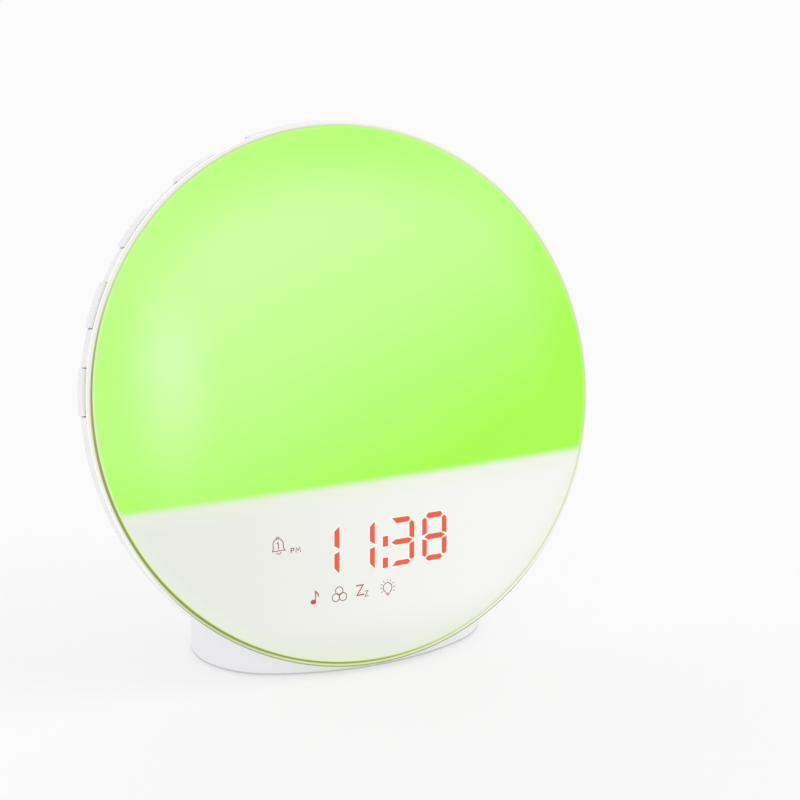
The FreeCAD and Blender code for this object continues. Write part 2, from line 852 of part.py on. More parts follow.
def lamp_board():
    disc = rod("lamp_disc", LAMP_BOARD_RADIUS, d.lamp_board_wall, (0, 0, TRAY_FLOOR))
    low = -d.divider_drop + d.divider_gap
    upper = block("lamp_upper", (-d.lens_radius, low, TRAY_FLOOR),
                  (d.lens_radius * 2, d.lens_radius * 2, d.lamp_board_wall))
    return keep(shared("lamp_board", disc, upper), "lamp_board", HEAD)


def lamps():
    pitch = d.lamp_spacing.value
    limit = (LAMP_BOARD_RADIUS - d.lamp_margin).value
    lowest = (d.lamp_margin - d.divider_drop).value
    half = d.lamp_size / 2
    pieces = []
    steps = range(-int(limit / pitch), int(limit / pitch) + 1)
    for column in steps:
        for row in steps:
            x = column * pitch
            y = row * pitch
            if math.hypot(x, y) > limit or y < lowest:
                continue
            pieces.append(block(f"lamp_{len(pieces) + 1}", (half * -1 + x, half * -1 + y, TRAY_FLOOR + d.lamp_board_wall),
                                (d.lamp_size, d.lamp_size, d.lamp_height)))
    return keep(group("lamps", pieces), "lamps", HEAD)


# Display

DISPLAY_FRONT = -d.display_front
DISPLAY_BACK = DISPLAY_FRONT - d.display_depth
DISPLAY_BOARD_BACK = DISPLAY_BACK - d.board_wall
GUIDE_LENGTH = d.display_depth - 0.5


def display_blocks(name, low, height):
    digits = block(name + "_digits", (-d.display_left, -d.display_middle, low),
                   (d.display_left + d.display_right, d.display_middle - d.display_top, height))
    icons = block(name + "_icons", (-d.icon_row_left, -d.icon_row_bottom, low),
                  (d.icon_row_left + d.icon_row_right,
                   d.icon_row_bottom - d.display_middle + d.cut_past, height))
    return joined(name + "_blocks", [digits, icons])


def digit_places():
    return [n.value for n in (d.digit_one_at, d.digit_two_at, d.digit_three_at, d.digit_four_at)]


def segment_corners(grow):
    """Corners of the seven strokes of a digit about its middle, each with its middle first."""
    half = d.stroke.value / 2 + grow
    space = d.stroke_gap.value - grow
    across = (d.digit_width.value - d.stroke.value) / 2
    up = (d.digit_height.value - d.stroke.value) / 2
    strokes = []
    for level in (-up, 0, up):
        end = across - space
        strokes.append([(0, level), (-end, level), (-end + half, level - half), (end - half, level - half),
                        (end, level), (end - half, level + half), (-end + half, level + half)])
    for side in (-across, across):
        for way in (-1, 1):
            low = space
            high = up - space
            strokes.append([(side, way * up / 2)] + [(side + u, way * v) for u, v in (
                (0, low), (half, low + half), (half, high - half), (0, high),
                (-half, high - half), (-half, low + half))])
    return strokes


def slanted(x, y):
    lean = math.tan(math.radians(d.digit_slant.value))
    return x + y * lean, y - d.digit_drop.value


def prism(corners, low, height):
    points = [Vector(x, y, low) for x, y in corners]
    face = Part.Face(Part.makePolygon(points + points[:1]))
    return face.extrude(Vector(0, 0, height))


def figure_outlines(grow):
    """Every stroke of the four digits and the colon, as corner lists with the middle first."""
    shapes = []
    for middle in digit_places():
        for stroke in segment_corners(grow):
            shapes.append([slanted(middle + x, y) for x, y in stroke])
    half = d.stroke.value / 2 + grow
    tall = d.colon_height.value / 2 + grow
    for way in (-1, 1):
        rise = way * d.colon_rise.value + d.digit_drop.value - d.colon_drop.value
        dot = [(0, 0), (-half, -tall), (half, -tall), (half, tall), (-half, tall)]
        shapes.append([slanted(d.colon_at.value + x, rise + y) for x, y in dot])
    return shapes


def icon_places():
    across = (d.note_at, d.rings_at, d.sleep_at, d.bulb_at)
    return [(x, -d.icon_drop) for x in across] + [(d.bell_at, -d.bell_drop)]


def icon_pieces(name, grow, low, height):
    pieces = [rod(f"{name}_{number}", d.icon_radius + grow, height, (x, y, low))
              for number, (x, y) in enumerate(icon_places(), start=1)]
    wide = d.letters_width + grow * 2
    tall = d.letters_height + grow * 2
    pieces.append(block(name + "_letters", (d.letters_at - wide / 2, -(d.letters_drop + tall / 2), low),
                        (wide, tall, height)))
    return pieces


def prisms(name, grow, low, height):
    shape = Part.makeCompound([prism(o[1:], low.value, height.value) for o in figure_outlines(grow)])
    feature = doc.addObject("Part::Feature", name)
    feature.Shape = shape
    return feature


def display():
    blocks = display_blocks("housing", DISPLAY_BACK, d.display_depth)
    past = d.display_depth + d.cut_past * 2
    low = DISPLAY_BACK - d.cut_past
    wells = [prisms("segment_wells", d.well_gap.value, low, past)]
    wells += icon_pieces("icon_well", d.well_gap, low, past)
    keep(cut("display_housing", blocks, wells), "display_housing", HEAD)
    start = DISPLAY_FRONT - GUIDE_LENGTH
    keep(prisms("segment_guides", 0.0, start, GUIDE_LENGTH), "segment_guides", HEAD)
    keep(group("icon_guides", icon_pieces("icon_guide", 0.0, start, GUIDE_LENGTH)), "icon_guides", HEAD)
    keep(display_blocks("display_board", DISPLAY_BOARD_BACK, d.board_wall), "display_board", HEAD)
    chip = (DISPLAY_FRONT - GUIDE_LENGTH - DISPLAY_BACK) * 0.8
    side = d.stroke * 0.6
    places = [o[0] for o in figure_outlines(0.0)] + icon_places()
    chips = [block(f"display_lamp_{number}", (side * -0.5 + x, side * -0.5 + y, DISPLAY_BACK),
                   (side, side, chip)) for number, (x, y) in enumerate(places, start=1)]
    keep(group("display_lamps", chips), "display_lamps", HEAD)


def connector(name, grow=0.0, past=0.0):
    wide = d.connector_width + size(grow) * 2
    tall = d.connector_wall + size(grow) * 2
    long = d.tray_wall + d.main_standoff + size(past) * 2
    return block(name, (-wide / 2, -(d.connector_drop + tall / 2), MAIN_FRONT - past), (wide, tall, long))


def ribbon(name, grow=0.0, past=0.0):
    wide = d.ribbon_width + size(grow) * 2
    tall = d.ribbon_wall + size(grow) * 2
    long = DISPLAY_BOARD_BACK - MAIN_FRONT if past == 0.0 else TRAY_FLOOR - MAIN_FRONT + size(past) * 2
    return block(name, (-wide / 2, -(d.ribbon_drop + tall / 2), MAIN_FRONT - past), (wide, tall, long))


# Speaker

SPEAKER_FACE = BACK_INSIDE + d.gasket_wall
BASKET_TOP = SPEAKER_FACE + d.basket_wall
BASKET_FLOOR = SPEAKER_FACE + d.basket_depth
YOKE = BASKET_FLOOR + d.magnet_height


def speaker_place():
    return HEAD.multiply(at(*speaker_middle()))


def screw_holes(name, radius, low, height):
    holes = []
    for number, (x, y) in enumerate(speaker_screw_places(), start=1):
        holes.append(rod(f"{name}_{number}", radius, height, (x, y - d.speaker_rise.value, low)))
    return holes


def speaker():
    gasket_ring = revolved("gasket_ring", [
        (d.speaker_hole, BACK_INSIDE), (d.speaker_radius, BACK_INSIDE),
        (d.speaker_radius, SPEAKER_FACE), (d.speaker_hole, SPEAKER_FACE),
    ])
    through = d.screw_radius + d.screw_through
    long = d.gasket_wall + d.basket_wall + d.cut_past * 2
    low = BACK_INSIDE - d.cut_past
    gasket = cut("speaker_gasket", gasket_ring, screw_holes("gasket_hole", through, low, long))
    keep(gasket, "speaker_gasket", speaker_place())
    basket_cup = revolved("basket_cup", [
        (d.speaker_hole, SPEAKER_FACE),
        (d.speaker_radius, SPEAKER_FACE),
        (d.speaker_radius, BASKET_TOP),
        (d.speaker_hole + d.basket_wall, BASKET_TOP),
        (d.magnet_radius + d.basket_wall, BASKET_FLOOR),
        (d.magnet_bore, BASKET_FLOOR),
        (d.magnet_bore, BASKET_FLOOR - d.basket_wall),
        (d.magnet_radius, BASKET_FLOOR - d.basket_wall),
    ])
    basket = cut("speaker_basket", basket_cup, screw_holes("basket_hole", through, low, long))
    keep(basket, "speaker_basket", speaker_place())
    magnet = revolved("speaker_magnet", [
        (d.magnet_bore, BASKET_FLOOR), (d.magnet_radius, BASKET_FLOOR),
        (d.magnet_radius, YOKE), (d.magnet_bore, YOKE),
    ])
    keep(magnet, "speaker_magnet", speaker_place())
    yoke = revolved("speaker_yoke", [
        (0, YOKE + d.yoke_wall),
        (0, BASKET_FLOOR - d.basket_wall),
        (d.pole_radius, BASKET_FLOOR - d.basket_wall),
        (d.pole_radius, YOKE),
        (d.magnet_radius, YOKE),
        (d.magnet_radius, YOKE + d.yoke_wall),
    ])
    keep(yoke, "speaker_yoke", speaker_place())
    coil_top = YOKE - d.coil_clear
    coil_low = coil_top - d.coil_height
    coil = revolved("voice_coil", [
        (d.coil_radius - d.coil_wall, coil_low), (d.coil_radius, coil_low),
        (d.coil_radius, coil_top), (d.coil_radius - d.coil_wall, coil_top),
    ])
    keep(coil, "voice_coil", speaker_place())
    neck = coil_low
    rim = neck - d.cone_depth
    throat = d.coil_radius - d.coil_wall
    cone = revolved("speaker_cone", [
        (throat, neck - d.cone_wall),
        (d.cone_radius, rim - d.cone_wall),
        (d.cone_radius, rim),
        (d.coil_radius, neck),
        (throat, neck),
    ])
    keep(cone, "speaker_cone", speaker_place())
    cap_low = neck - d.cone_wall - d.cap_rise
    cap = revolved("dust_cap", [
        (0, cap_low + d.cone_wall),
        (0, cap_low),
        (throat, neck - d.cone_wall * 2, d.magnet_radius),
        (throat, neck - d.cone_wall),
    ])
    keep(cap, "dust_cap", speaker_place())
    roll_in = d.cone_radius + d.piece_gap
    roll_out = d.speaker_hole
    roll_radius = (roll_out - roll_in) / 2
    surround = revolved("speaker_surround", [
        (roll_in, SPEAKER_FACE),
        ((roll_in + roll_out) / 2, SPEAKER_FACE - roll_radius * 0.8, roll_radius * 1.03),
        (roll_out, SPEAKER_FACE, roll_radius * 1.03),
        (roll_out - d.roll_wall, SPEAKER_FACE),
        ((roll_in + roll_out) / 2, SPEAKER_FACE - roll_radius * 0.8 + d.roll_wall,
         -(roll_radius * 1.03 - d.roll_wall)),
        (roll_in + d.roll_wall, SPEAKER_FACE, -(roll_radius * 1.03 - d.roll_wall)),
    ])
    keep(surround, "speaker_surround", speaker_place())
    screws = [screw(f"speaker_screw_{n}", (x, y, BASKET_TOP), d.basket_wall + d.gasket_wall + d.shell_wall / 3,
                    BACKWARD) for n, (x, y) in enumerate(speaker_screw_places(), start=1)]
    keep(group("speaker_screws", screws), "speaker_screws", HEAD)


def screw(name, seat, grip, turn):
    """A pan-head screw: its head rests on seat and its shank runs along Z, turned as asked."""
    head = rod(name + "_head", d.screw_head_radius, d.screw_head_height, (0, 0, -d.screw_head_height))
    shank = rod(name + "_shank", d.screw_radius, size(grip) + d.screw_head_height / 2,
                (0, 0, -d.screw_head_height / 2))
    whole = joined(name, [head, shank])
    whole.Placement = at(*seat, turn)
    return whole


# Main board and what is on it

MAIN_FRONT = TRAY_BACK - d.main_standoff
MAIN_BACK = MAIN_FRONT - d.main_wall


def main_board():
    low = (-d.main_width / 2, -(d.main_drop + d.main_height / 2), MAIN_BACK)
    plate = block("main_plate", low, (d.main_width, d.main_height, d.main_wall))
    holes = [rod(f"main_hole_{n}", d.screw_radius + d.screw_through, d.main_wall + d.cut_past * 2,
                 (x, y, MAIN_BACK - d.cut_past)) for n, (x, y) in enumerate(main_screw_places(), start=1)]
    keep(cut("main_board", plate, holes), "main_board", HEAD)
    screws = [screw(f"board_screw_{n}", (x, y, MAIN_BACK), d.main_wall + d.main_standoff, FORWARD)
              for n, (x, y) in enumerate(main_screw_places(), start=1)]
    keep(group("board_screws", screws), "board_screws", HEAD)


def on_board(across, up):
    """A place on the main board, as shares of its width and height from its middle."""
    return d.main_width * across, d.main_height * up - d.main_drop


def on_main_board(name, across, up, width, height, wall):
    """A flat part on the back of the main board."""
    x, y = on_board(across, up)
    low = (x - width / 2, y - height / 2, MAIN_BACK - wall)
    return keep(block(name, low, (width, height, wall)), name, HEAD.multiply(at(*low)))


CAPACITOR_PLACES = [(-0.395, 0.2), (-0.395, -0.06), (-0.25, 0.3)]
CELL_PLACE = (-0.16, -0.17)


def electronics():
    on_main_board("processor", 0.13, 0.175, d.processor_side, d.processor_side, d.processor_wall)
    on_main_board("amplifier", -0.105, 0.3, d.amplifier_side, d.amplifier_side, d.amplifier_wall)
    on_main_board("wireless_module", 0.355, 0.0, d.wireless_width, d.wireless_height, d.wireless_wall)
    cans = [rod(f"capacitor_{n}", d.capacitor_radius, d.capacitor_height,
                (*on_board(*place), MAIN_BACK - d.capacitor_height))
            for n, place in enumerate(CAPACITOR_PLACES, start=1)]
    keep(group("capacitors", cans), "capacitors", HEAD)
    middle = on_board(*CELL_PLACE)
    height = d.cell_height + d.holder_wall
    cup = rod("holder_cup", d.cell_radius + d.holder_wall, height, (*middle, MAIN_BACK - height))
    room = rod("holder_room", d.cell_radius + d.seat_gap, height, (*middle, MAIN_BACK - height - d.holder_wall))
    keep(cut("cell_holder", cup, [room]), "cell_holder", HEAD)
    cell = rod("coin_cell", d.cell_radius, d.cell_height)
    keep(cell, "coin_cell", HEAD.multiply(at(*middle, MAIN_BACK - height)))


# Screws that close the case and the foot

def case_screws():
    screws = []
    for number, degrees in enumerate(CASE_SCREW_ANGLES, start=1):
        one = screw(f"case_screw_{number}", (CASE_SCREW_CIRCLE, 0, CASE_FLOOR_BACK),
                    d.case_floor_wall + d.screw_grip - d.cut_past, FORWARD)
        screws.append(turned(one, degrees))
    return keep(group("case_screws", screws), "case_screws", HEAD)


def foot_screw_places():
    corners = [(d.foot_screw_across * side, d.foot_screw_along * way) for side in (-1, 1) for way in (-1, 1)]
    necks = [(d.neck_screw_across * side, -d.neck_screw_forward) for side in (-1, 1)]
    return corners + necks


# Foot

def oval(inset):
    """Four arcs that meet smoothly, drawn inward by inset."""
    across = d.foot_half_width - d.foot_end_radius
    end = d.foot_end_radius
    side = ((across * across + d.foot_half_depth * d.foot_half_depth - end * end)
            / ((d.foot_half_depth - end) * 2))
    back = side - d.foot_half_depth
    x = across / (side - end) * (side - inset)
    y = back / (side - end) * (end - inset)
    return [(x, -y, side - inset), (x, y, end - inset), (-x, y, side - inset), (-x, -y, end - inset)]


def above_plate(name, grow, low):
    """The room that the head takes up above the foot's plate."""
    room = revolved(name + "_round", head_profile(grow))
    level = world_slab(name + "_level", low, EDGE_OUTER * 2)
    return moved(shared(name, room, level), HEAD)


def foot_shell():
    lift = d.foot_lift
    outside = padded("foot_outside", oval(size(0)), d.foot_height - lift)
    rounded(outside, "foot_top_round", d.foot_round, lambda e: lies_at(e, d.foot_height - lift))
    outside.Placement = at(0, 0, lift)
    inside = padded("foot_inside", oval(d.foot_wall), d.foot_height - d.foot_wall - lift + d.cut_past)
    inside.Placement = at(0, 0, lift - d.cut_past)
    saddle = above_plate("foot_saddle", d.foot_gap + d.foot_wall, HEAD_FLOOR)
    cavity = cut("foot_cavity", inside, [saddle])
    hollow = cut("foot_hollow", outside, [cavity])
    bosses = []
    holes = [above_plate("foot_head_room", d.foot_gap, HEAD_FLOOR - d.foot_gap)]
    for number, (x, y) in enumerate(foot_screw_places()[:4], start=1):
        bosses.append(rod(f"foot_boss_{number}", d.foot_boss_radius,
                          d.foot_height - d.foot_wall / 2 - HEAD_FLOOR, (x, y, HEAD_FLOOR)))
        holes.append(rod(f"foot_pilot_{number}", d.screw_radius + d.screw_fit, d.screw_grip,
                         (x, y, HEAD_FLOOR - d.seat_gap)))
    holes.append(rod("inlet_hole", d.inlet_radius, d.foot_wall * 2 + d.cut_past,
                     (0, d.foot_half_depth - d.foot_wall * 2, JACK_MIDDLE), TO_BACK))
    holes.append(lead_hole("foot_lead_hole"))
    shell = cut("foot_shell", joined("foot_solid", [hollow] + bosses), holes)
    return keep(shell, "foot_shell")


def base_plate():
    plate = padded("plate_oval", oval(d.foot_wall + d.piece_gap), d.plate_wall)
    plate.Placement = at(0, 0, d.pad_wall)
    holes = []
    for number, (x, y) in enumerate(foot_screw_places(), start=1):
        holes.append(rod(f"plate_hole_{number}", d.screw_radius + d.screw_through,
                         d.plate_wall + d.cut_past * 2, (x, y, d.pad_wall - d.cut_past)))
        holes.append(rod(f"plate_recess_{number}", d.screw_head_radius + d.screw_through,
                         d.screw_head_height + d.cut_past, (x, y, d.pad_wall - d.cut_past)))
    return keep(cut("base_plate", plate, holes), "base_plate")


def rubber_pad():
    pad = padded("rubber_pad", oval(d.foot_wall + d.piece_gap + d.pad_inset), d.pad_wall)
    return keep(pad, "rubber_pad", at())


def foot_screws():
    seat = d.pad_wall + d.screw_head_height
    grip = d.plate_wall - d.screw_head_height + d.screw_grip - d.cut_past
    screws = [screw(f"foot_screw_{n}", (x, y, seat), grip, FORWARD)
              for n, (x, y) in enumerate(foot_screw_places(), start=1)]
    return keep(group("foot_screws", screws), "foot_screws", at())


# Power inlet, at the back of the foot

TO_BACK = Rotation(Vector(1, 0, 0), -90)
INLET_BOARD_LOW = PLATE_TOP + d.inlet_board_lift
JACK_LOW = INLET_BOARD_LOW + d.board_wall
JACK_MIDDLE = JACK_LOW + d.jack_height / 2
JACK_FACE = d.foot_half_depth - d.foot_wall - d.piece_gap * 2
INLET_BOARD_FRONT = JACK_FACE - d.piece_gap * 2 - d.inlet_board_length


def power_inlet():
    low = (-d.jack_width / 2, JACK_FACE - d.jack_length, JACK_LOW)
    case = block("jack_case", low, (d.jack_width, d.jack_length, d.jack_height))
    floor = JACK_FACE - d.jack_bore_depth
    bore = rod("jack_bore_cut", d.jack_bore, d.jack_bore_depth + d.cut_past, (0, floor, JACK_MIDDLE), TO_BACK)
    keep(cut("dc_jack", case, [bore]), "dc_jack")
    pin = rod("jack_pin", d.jack_pin_radius, d.jack_bore_depth - d.jack_pin_back)
    keep(pin, "jack_pin", at(0, floor, JACK_MIDDLE, TO_BACK))
    board_low = (-d.inlet_board_width / 2, INLET_BOARD_FRONT, INLET_BOARD_LOW)
    board = block("inlet_board", (0, 0, 0), (d.inlet_board_width, d.inlet_board_length, d.board_wall))
    keep(board, "inlet_board", at(*board_low))


# Wires

def wire(points, radius, bend):
    """A round wire along straight runs with an arc at each corner."""
    edges = []
    start = points[0]
    for before, here, after in zip(points, points[1:], points[2:]):
        back = (before - here).normalize()
        ahead = (after - here).normalize()
        half_turn = (math.pi - back.getAngle(ahead)) / 2
        reach = bend * math.tan(half_turn)
        first = here + back * reach
        last = here + ahead * reach
        middle_way = (back + ahead).normalize()
        middle = here + middle_way * (bend / math.cos(half_turn) - bend)
        edges.append(Part.makeLine(start, first))
        edges.append(Part.Arc(first, middle, last).toShape())
        start = last
    edges.append(Part.makeLine(start, points[-1]))
    path = Part.Wire(edges)
    section = Part.Wire([Part.makeCircle(radius, points[0], points[1] - points[0])])
    return path.makePipeShell([section], True, False)


def wires(label, routes, radius, bend):
    feature = doc.addObject("Part::Feature", label)
    shapes = [wire([Vector(*(size(c).value for c in p)) for p in route], radius.value, bend.value)
              for route in routes]
    feature.Shape = Part.makeCompound(shapes) if len(shapes) > 1 else shapes[0]
    return feature


def speaker_leads():
    half = d.wire_spacing / 2
    level = BASKET_FLOOR + d.magnet_height / 3
    end = d.speaker_rise - d.magnet_radius - d.piece_gap
    start = -(d.main_drop - d.main_height / 2) - d.wire_spacing
    routes = [[(half * side, start, MAIN_BACK), (half * side, start, level), (half * side, end, level)]
              for side in (-1, 1)]
    keep(wires("speaker_leads", routes, d.wire_radius, d.bend_radius / 2), "speaker_leads", HEAD)


def power_leads():
    half = d.wire_spacing / 2
    lift = INLET_BOARD_LOW + d.board_wall / 2
    up_board = (d.wire_spacing - d.main_drop - d.main_height / 2).value
    end = HEAD.multVec(Vector(0, up_board, MAIN_BACK.value))
    before = HEAD.multVec(Vector(0, up_board, (MAIN_BACK - d.bend_radius).value))
    routes = [[
        (half * side, INLET_BOARD_FRONT, lift),
        (half * side, d.lead_hole_back, lift),
        (half * side, d.lead_hole_back, before.z + before.y - d.lead_hole_back.value),
        (half * side, before.y, before.z),
        (half * side, end.y, end.z),
    ] for side in (-1, 1)]
    return keep(wires("power_leads", routes, d.wire_radius, d.bend_radius / 2), "power_leads", at())


def button_leads():
    """A bundle from each switch board, round the light box, to an edge of the main board."""
    back = BOARD_FRONT - d.board_wall
    beside = back - d.bend_radius * 1.4
    below = TRAY_BACK - d.bend_radius * 1.2
    level = (MAIN_FRONT + MAIN_BACK) / 2
    ring = (BOARD_INNER + BOARD_OUTER) / 2
    under = TRAY_RADIUS - d.lead_reach / 2
    routes = []
    for side in (-1, 1):
        end = d.main_width / 2
        routes.append([
            (ring * side, d.bend_radius * 1.6, back),
            (ring * side, d.bend_radius * 1.6, beside),
            (under * side, -d.lead_reach, below),
            ((end + d.lead_reach) * side, -(d.lead_reach + d.lead_reach), level),
            (end * side, -(d.lead_reach + d.lead_reach), level),
        ])
    top = (ring * ring - d.top_lead_across * d.top_lead_across).root()
    routes.append([
        (d.top_lead_across, top, back),
        (d.top_lead_across, top, beside),
        (d.top_lead_across, under, below),
        (d.top_lead_across, under - d.lead_reach, level),
        (d.top_lead_across, d.main_height / 2 - d.main_drop, level),
    ])
    return keep(wires("button_leads", routes, d.bundle_radius, d.bend_radius), "button_leads", HEAD)


def inner_links():
    keep(connector("lamp_connector"), "lamp_connector")
    keep(ribbon("display_ribbon"), "display_ribbon")
    for link in made[-2:]:
        link.Placement = HEAD.multiply(link.Placement)


def build():
    front_lens()
    edge_ring()
    button_band()
    rear_shell()
    buttons()
    light_box()
    lamp_board()
    lamps()
    display()
    speaker()
    main_board()
    electronics()
    case_screws()
    foot_shell()
    base_plate()
    rubber_pad()
    foot_screws()
    power_inlet()
    inner_links()
    speaker_leads()
    power_leads()
    button_leads()


def check():
    """Stops if anything failed to build, so that nothing half made is written."""
    for thing in doc.Objects:
        bad = [state for state in thing.State if state in ("Invalid", "Error")]
        if bad:
            raise RuntimeError(f"{thing.Name}: {bad}")
    for thing in made:
        if thing.Shape.isNull() or not thing.Shape.isValid() or not thing.Shape.Solids:
            raise RuntimeError(f"{thing.Label}: its shape is not a valid solid")


def export():
    os.makedirs("parts", exist_ok=True)
    for thing in made:
        thing.Shape.exportStep(f"parts/{thing.Label}.step")
        print(f"{thing.Label}: {len(thing.Shape.Solids)} solids, {thing.Shape.Volume / 1000:.3f} cm3")


build()
doc.recompute()
check()
export()
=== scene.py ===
import math

import bmesh
import bpy
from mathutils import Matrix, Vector


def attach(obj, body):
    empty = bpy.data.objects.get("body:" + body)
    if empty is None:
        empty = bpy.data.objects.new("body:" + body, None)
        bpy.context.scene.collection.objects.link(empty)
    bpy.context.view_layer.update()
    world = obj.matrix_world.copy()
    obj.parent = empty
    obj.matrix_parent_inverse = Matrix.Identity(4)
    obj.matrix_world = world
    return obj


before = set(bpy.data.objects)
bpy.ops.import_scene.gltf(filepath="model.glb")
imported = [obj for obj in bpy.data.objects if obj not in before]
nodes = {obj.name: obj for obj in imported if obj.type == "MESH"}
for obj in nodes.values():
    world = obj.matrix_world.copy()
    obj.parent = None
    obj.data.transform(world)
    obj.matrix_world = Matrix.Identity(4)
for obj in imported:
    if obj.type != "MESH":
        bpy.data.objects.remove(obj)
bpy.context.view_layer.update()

# The looks of a round sunrise alarm clock. Millimetres in the numbers, metres in Blender.

mm = 0.001

# The face's own frame: x to the right, y up the face, z out of the face
lean = math.radians(15.3)
faceCentre = Vector((0, -10.6, 89.2))
faceUp = Vector((0, math.sin(lean), math.cos(lean)))
faceOut = Vector((0, -math.cos(lean), math.sin(lean)))
lensRadius = 88.5
lensCrown = 8.0
domeRadius = (lensRadius ** 2 + lensCrown ** 2) / (2 * lensCrown)


def onFace(x, y, lift=0.0):
    height = math.sqrt(domeRadius ** 2 - x * x - y * y) - domeRadius + lensCrown
    return (faceCentre + Vector((x, 0, 0)) + faceUp * y + faceOut * (height + lift)) * mm


# Colours and nodes

def linear(hexText):
    values = [int(hexText[i:i + 2], 16) / 255 for i in (1, 3, 5)]
    return [v / 12.92 if v <= 0.04045 else ((v + 0.055) / 1.055) ** 2.4 for v in values] + [1.0]


def addNode(tree, kind, settings=None, inputs=None):
    node = tree.nodes.new(kind)
    for name, value in (settings or {}).items():
        setattr(node, name, value)
    for name, value in (inputs or {}).items():
        if isinstance(value, bpy.types.NodeSocket):
            tree.links.new(value, node.inputs[name])
        else:
            node.inputs[name].default_value = value
    return node


def calc(tree, operation, *values):
    node = addNode(tree, "ShaderNodeMath", {"operation": operation}, dict(enumerate(values)))
    return node.outputs[0]


def fade(tree, value, start, end, low=0.0, high=1.0):
    node = addNode(tree, "ShaderNodeMapRange", {"interpolation_type": "SMOOTHSTEP"},
                   {"Value": value, "From Min": start, "From Max": end, "To Min": low, "To Max": high})
    return node.outputs["Result"]


def mixed(tree, share, first, second):
    node = addNode(tree, "ShaderNodeMix", {"data_type": "RGBA"}, {"Factor": share})
    for index, value in ((6, first), (7, second)):
        if isinstance(value, bpy.types.NodeSocket):
            tree.links.new(value, node.inputs[index])
        else:
            node.inputs[index].default_value = value
    return node.outputs[2]


def newMaterial(name):
    material = bpy.data.materials.new(name)
    material.use_nodes = True
    tree = material.node_tree
    return material, tree, tree.nodes["Principled BSDF"]


def objectPlace(tree):
    return addNode(tree, "ShaderNodeTexCoord").outputs["Object"]


def noise(tree, size, detail=3.0, roughness=0.5):
    node = addNode(tree, "ShaderNodeTexNoise", None,
                   {"Vector": objectPlace(tree), "Scale": 1 / (size * mm), "Detail": detail, "Roughness": roughness})
    return node.outputs["Fac"]


def addBump(tree, shader, height, depth, strength=1.0):
    bump = addNode(tree, "ShaderNodeBump", None, {"Height": height, "Distance": depth * mm, "Strength": strength})
    tree.links.new(bump.outputs["Normal"], shader.inputs["Normal"])


def finished(name, look):
    # A colour that drifts a little over centimetres, with the surface's own grain in its bump and gloss
    material, tree, shader = newMaterial(name)
    drift = noise(tree, look["patch"], 4.0)
    colour = mixed(tree, fade(tree, drift, 0.3, 0.7), linear(look["colour"]), linear(look["other"]))
    # A grey band at the bottom, where the look has one, is painted contact shade just over the table
    if "paintedContactShadeColour" in look:
        height = addNode(tree, "ShaderNodeSeparateXYZ", None, {0: objectPlace(tree)}).outputs["Z"]
        paintedContactShade = fade(tree, height, look["paintedContactShadeTop"] * mm, look["paintedContactShadeTop"] * mm * 1.5, 0.9, 0.0)
        colour = mixed(tree, paintedContactShade, colour, linear(look["paintedContactShadeColour"]))
    tree.links.new(colour, shader.inputs["Base Color"])
    grain = noise(tree, look["grain"], 2.0)
    rough = fade(tree, grain, 0.25, 0.75, look["rough"] - look["vary"], look["rough"] + look["vary"])
    tree.links.new(rough, shader.inputs["Roughness"])
    addBump(tree, shader, grain, look["depth"], 0.5)
    shader.inputs["Metallic"].default_value = look.get("metal", 0.0)
    shader.inputs["IOR"].default_value = look.get("ior", 1.5)
    shader.inputs["Coat Weight"].default_value = look.get("coat", 0.0)
    return material


def faceFrame(tree):
    # Millimetres across and up the face from its middle, and the distance from the middle
    moved = addNode(tree, "ShaderNodeVectorMath", {"operation": "SUBTRACT"},
                    {0: objectPlace(tree), 1: faceCentre * mm}).outputs["Vector"]
    across = addNode(tree, "ShaderNodeSeparateXYZ", None, {0: moved}).outputs["X"]
    up = addNode(tree, "ShaderNodeVectorMath", {"operation": "DOT_PRODUCT"}, {0: moved, 1: faceUp}).outputs["Value"]
    x = calc(tree, "MULTIPLY", across, 1000.0)
    y = calc(tree, "MULTIPLY", up, 1000.0)
    radius = calc(tree, "SQRT", calc(tree, "ADD", calc(tree, "MULTIPLY", x, x), calc(tree, "MULTIPLY", y, y)))
    return x, y, radius


def towards(tree, x, y, radius, degrees, start, end):
    # 1 on the side of the face at that angle, 0 on the other
    angle = math.radians(degrees)
    side = calc(tree, "ADD", calc(tree, "MULTIPLY", x, math.cos(angle)), calc(tree, "MULTIPLY", y, math.sin(angle)))
    return fade(tree, calc(tree, "DIVIDE", side, radius), start, end)


# Camera, at the photograph's viewing angle

cameraView = {
    "azimuth": -24.5,
    "elevation": 16.8,
    "distance": 813.8,
    "target": (0, -10.6, 91.55),
    # in pixels of the picture, which is as high as it is wide
    "frame": 800,
    "focal": 2471,
    "middle": (349, 387),
    "sensor": 36,
}


def buildCamera():
    azimuth = math.radians(cameraView["azimuth"])
    elevation = math.radians(cameraView["elevation"])
    back = Vector((math.sin(azimuth) * math.cos(elevation), -math.cos(azimuth) * math.cos(elevation),
                   math.sin(elevation)))
    data = bpy.data.cameras.new("camera")
    frameSize = cameraView["frame"]
    data.sensor_width = cameraView["sensor"]
    data.lens = cameraView["focal"] / frameSize * cameraView["sensor"]
    data.shift_x = (frameSize / 2 - cameraView["middle"][0]) / frameSize
    data.shift_y = (cameraView["middle"][1] - frameSize / 2) / frameSize
    data.clip_start = 0.01
    data.clip_end = 100
    camera = bpy.data.objects.new("camera", data)
    bpy.context.scene.collection.objects.link(camera)
    camera.location = (Vector(cameraView["target"]) + back * cameraView["distance"]) * mm
    camera.rotation_euler = back.to_track_quat("Z", "Y").to_euler()
    bpy.context.scene.camera = camera


buildCamera()
print("camera placed")

# The lit face: green above, white below, with a soft edge between

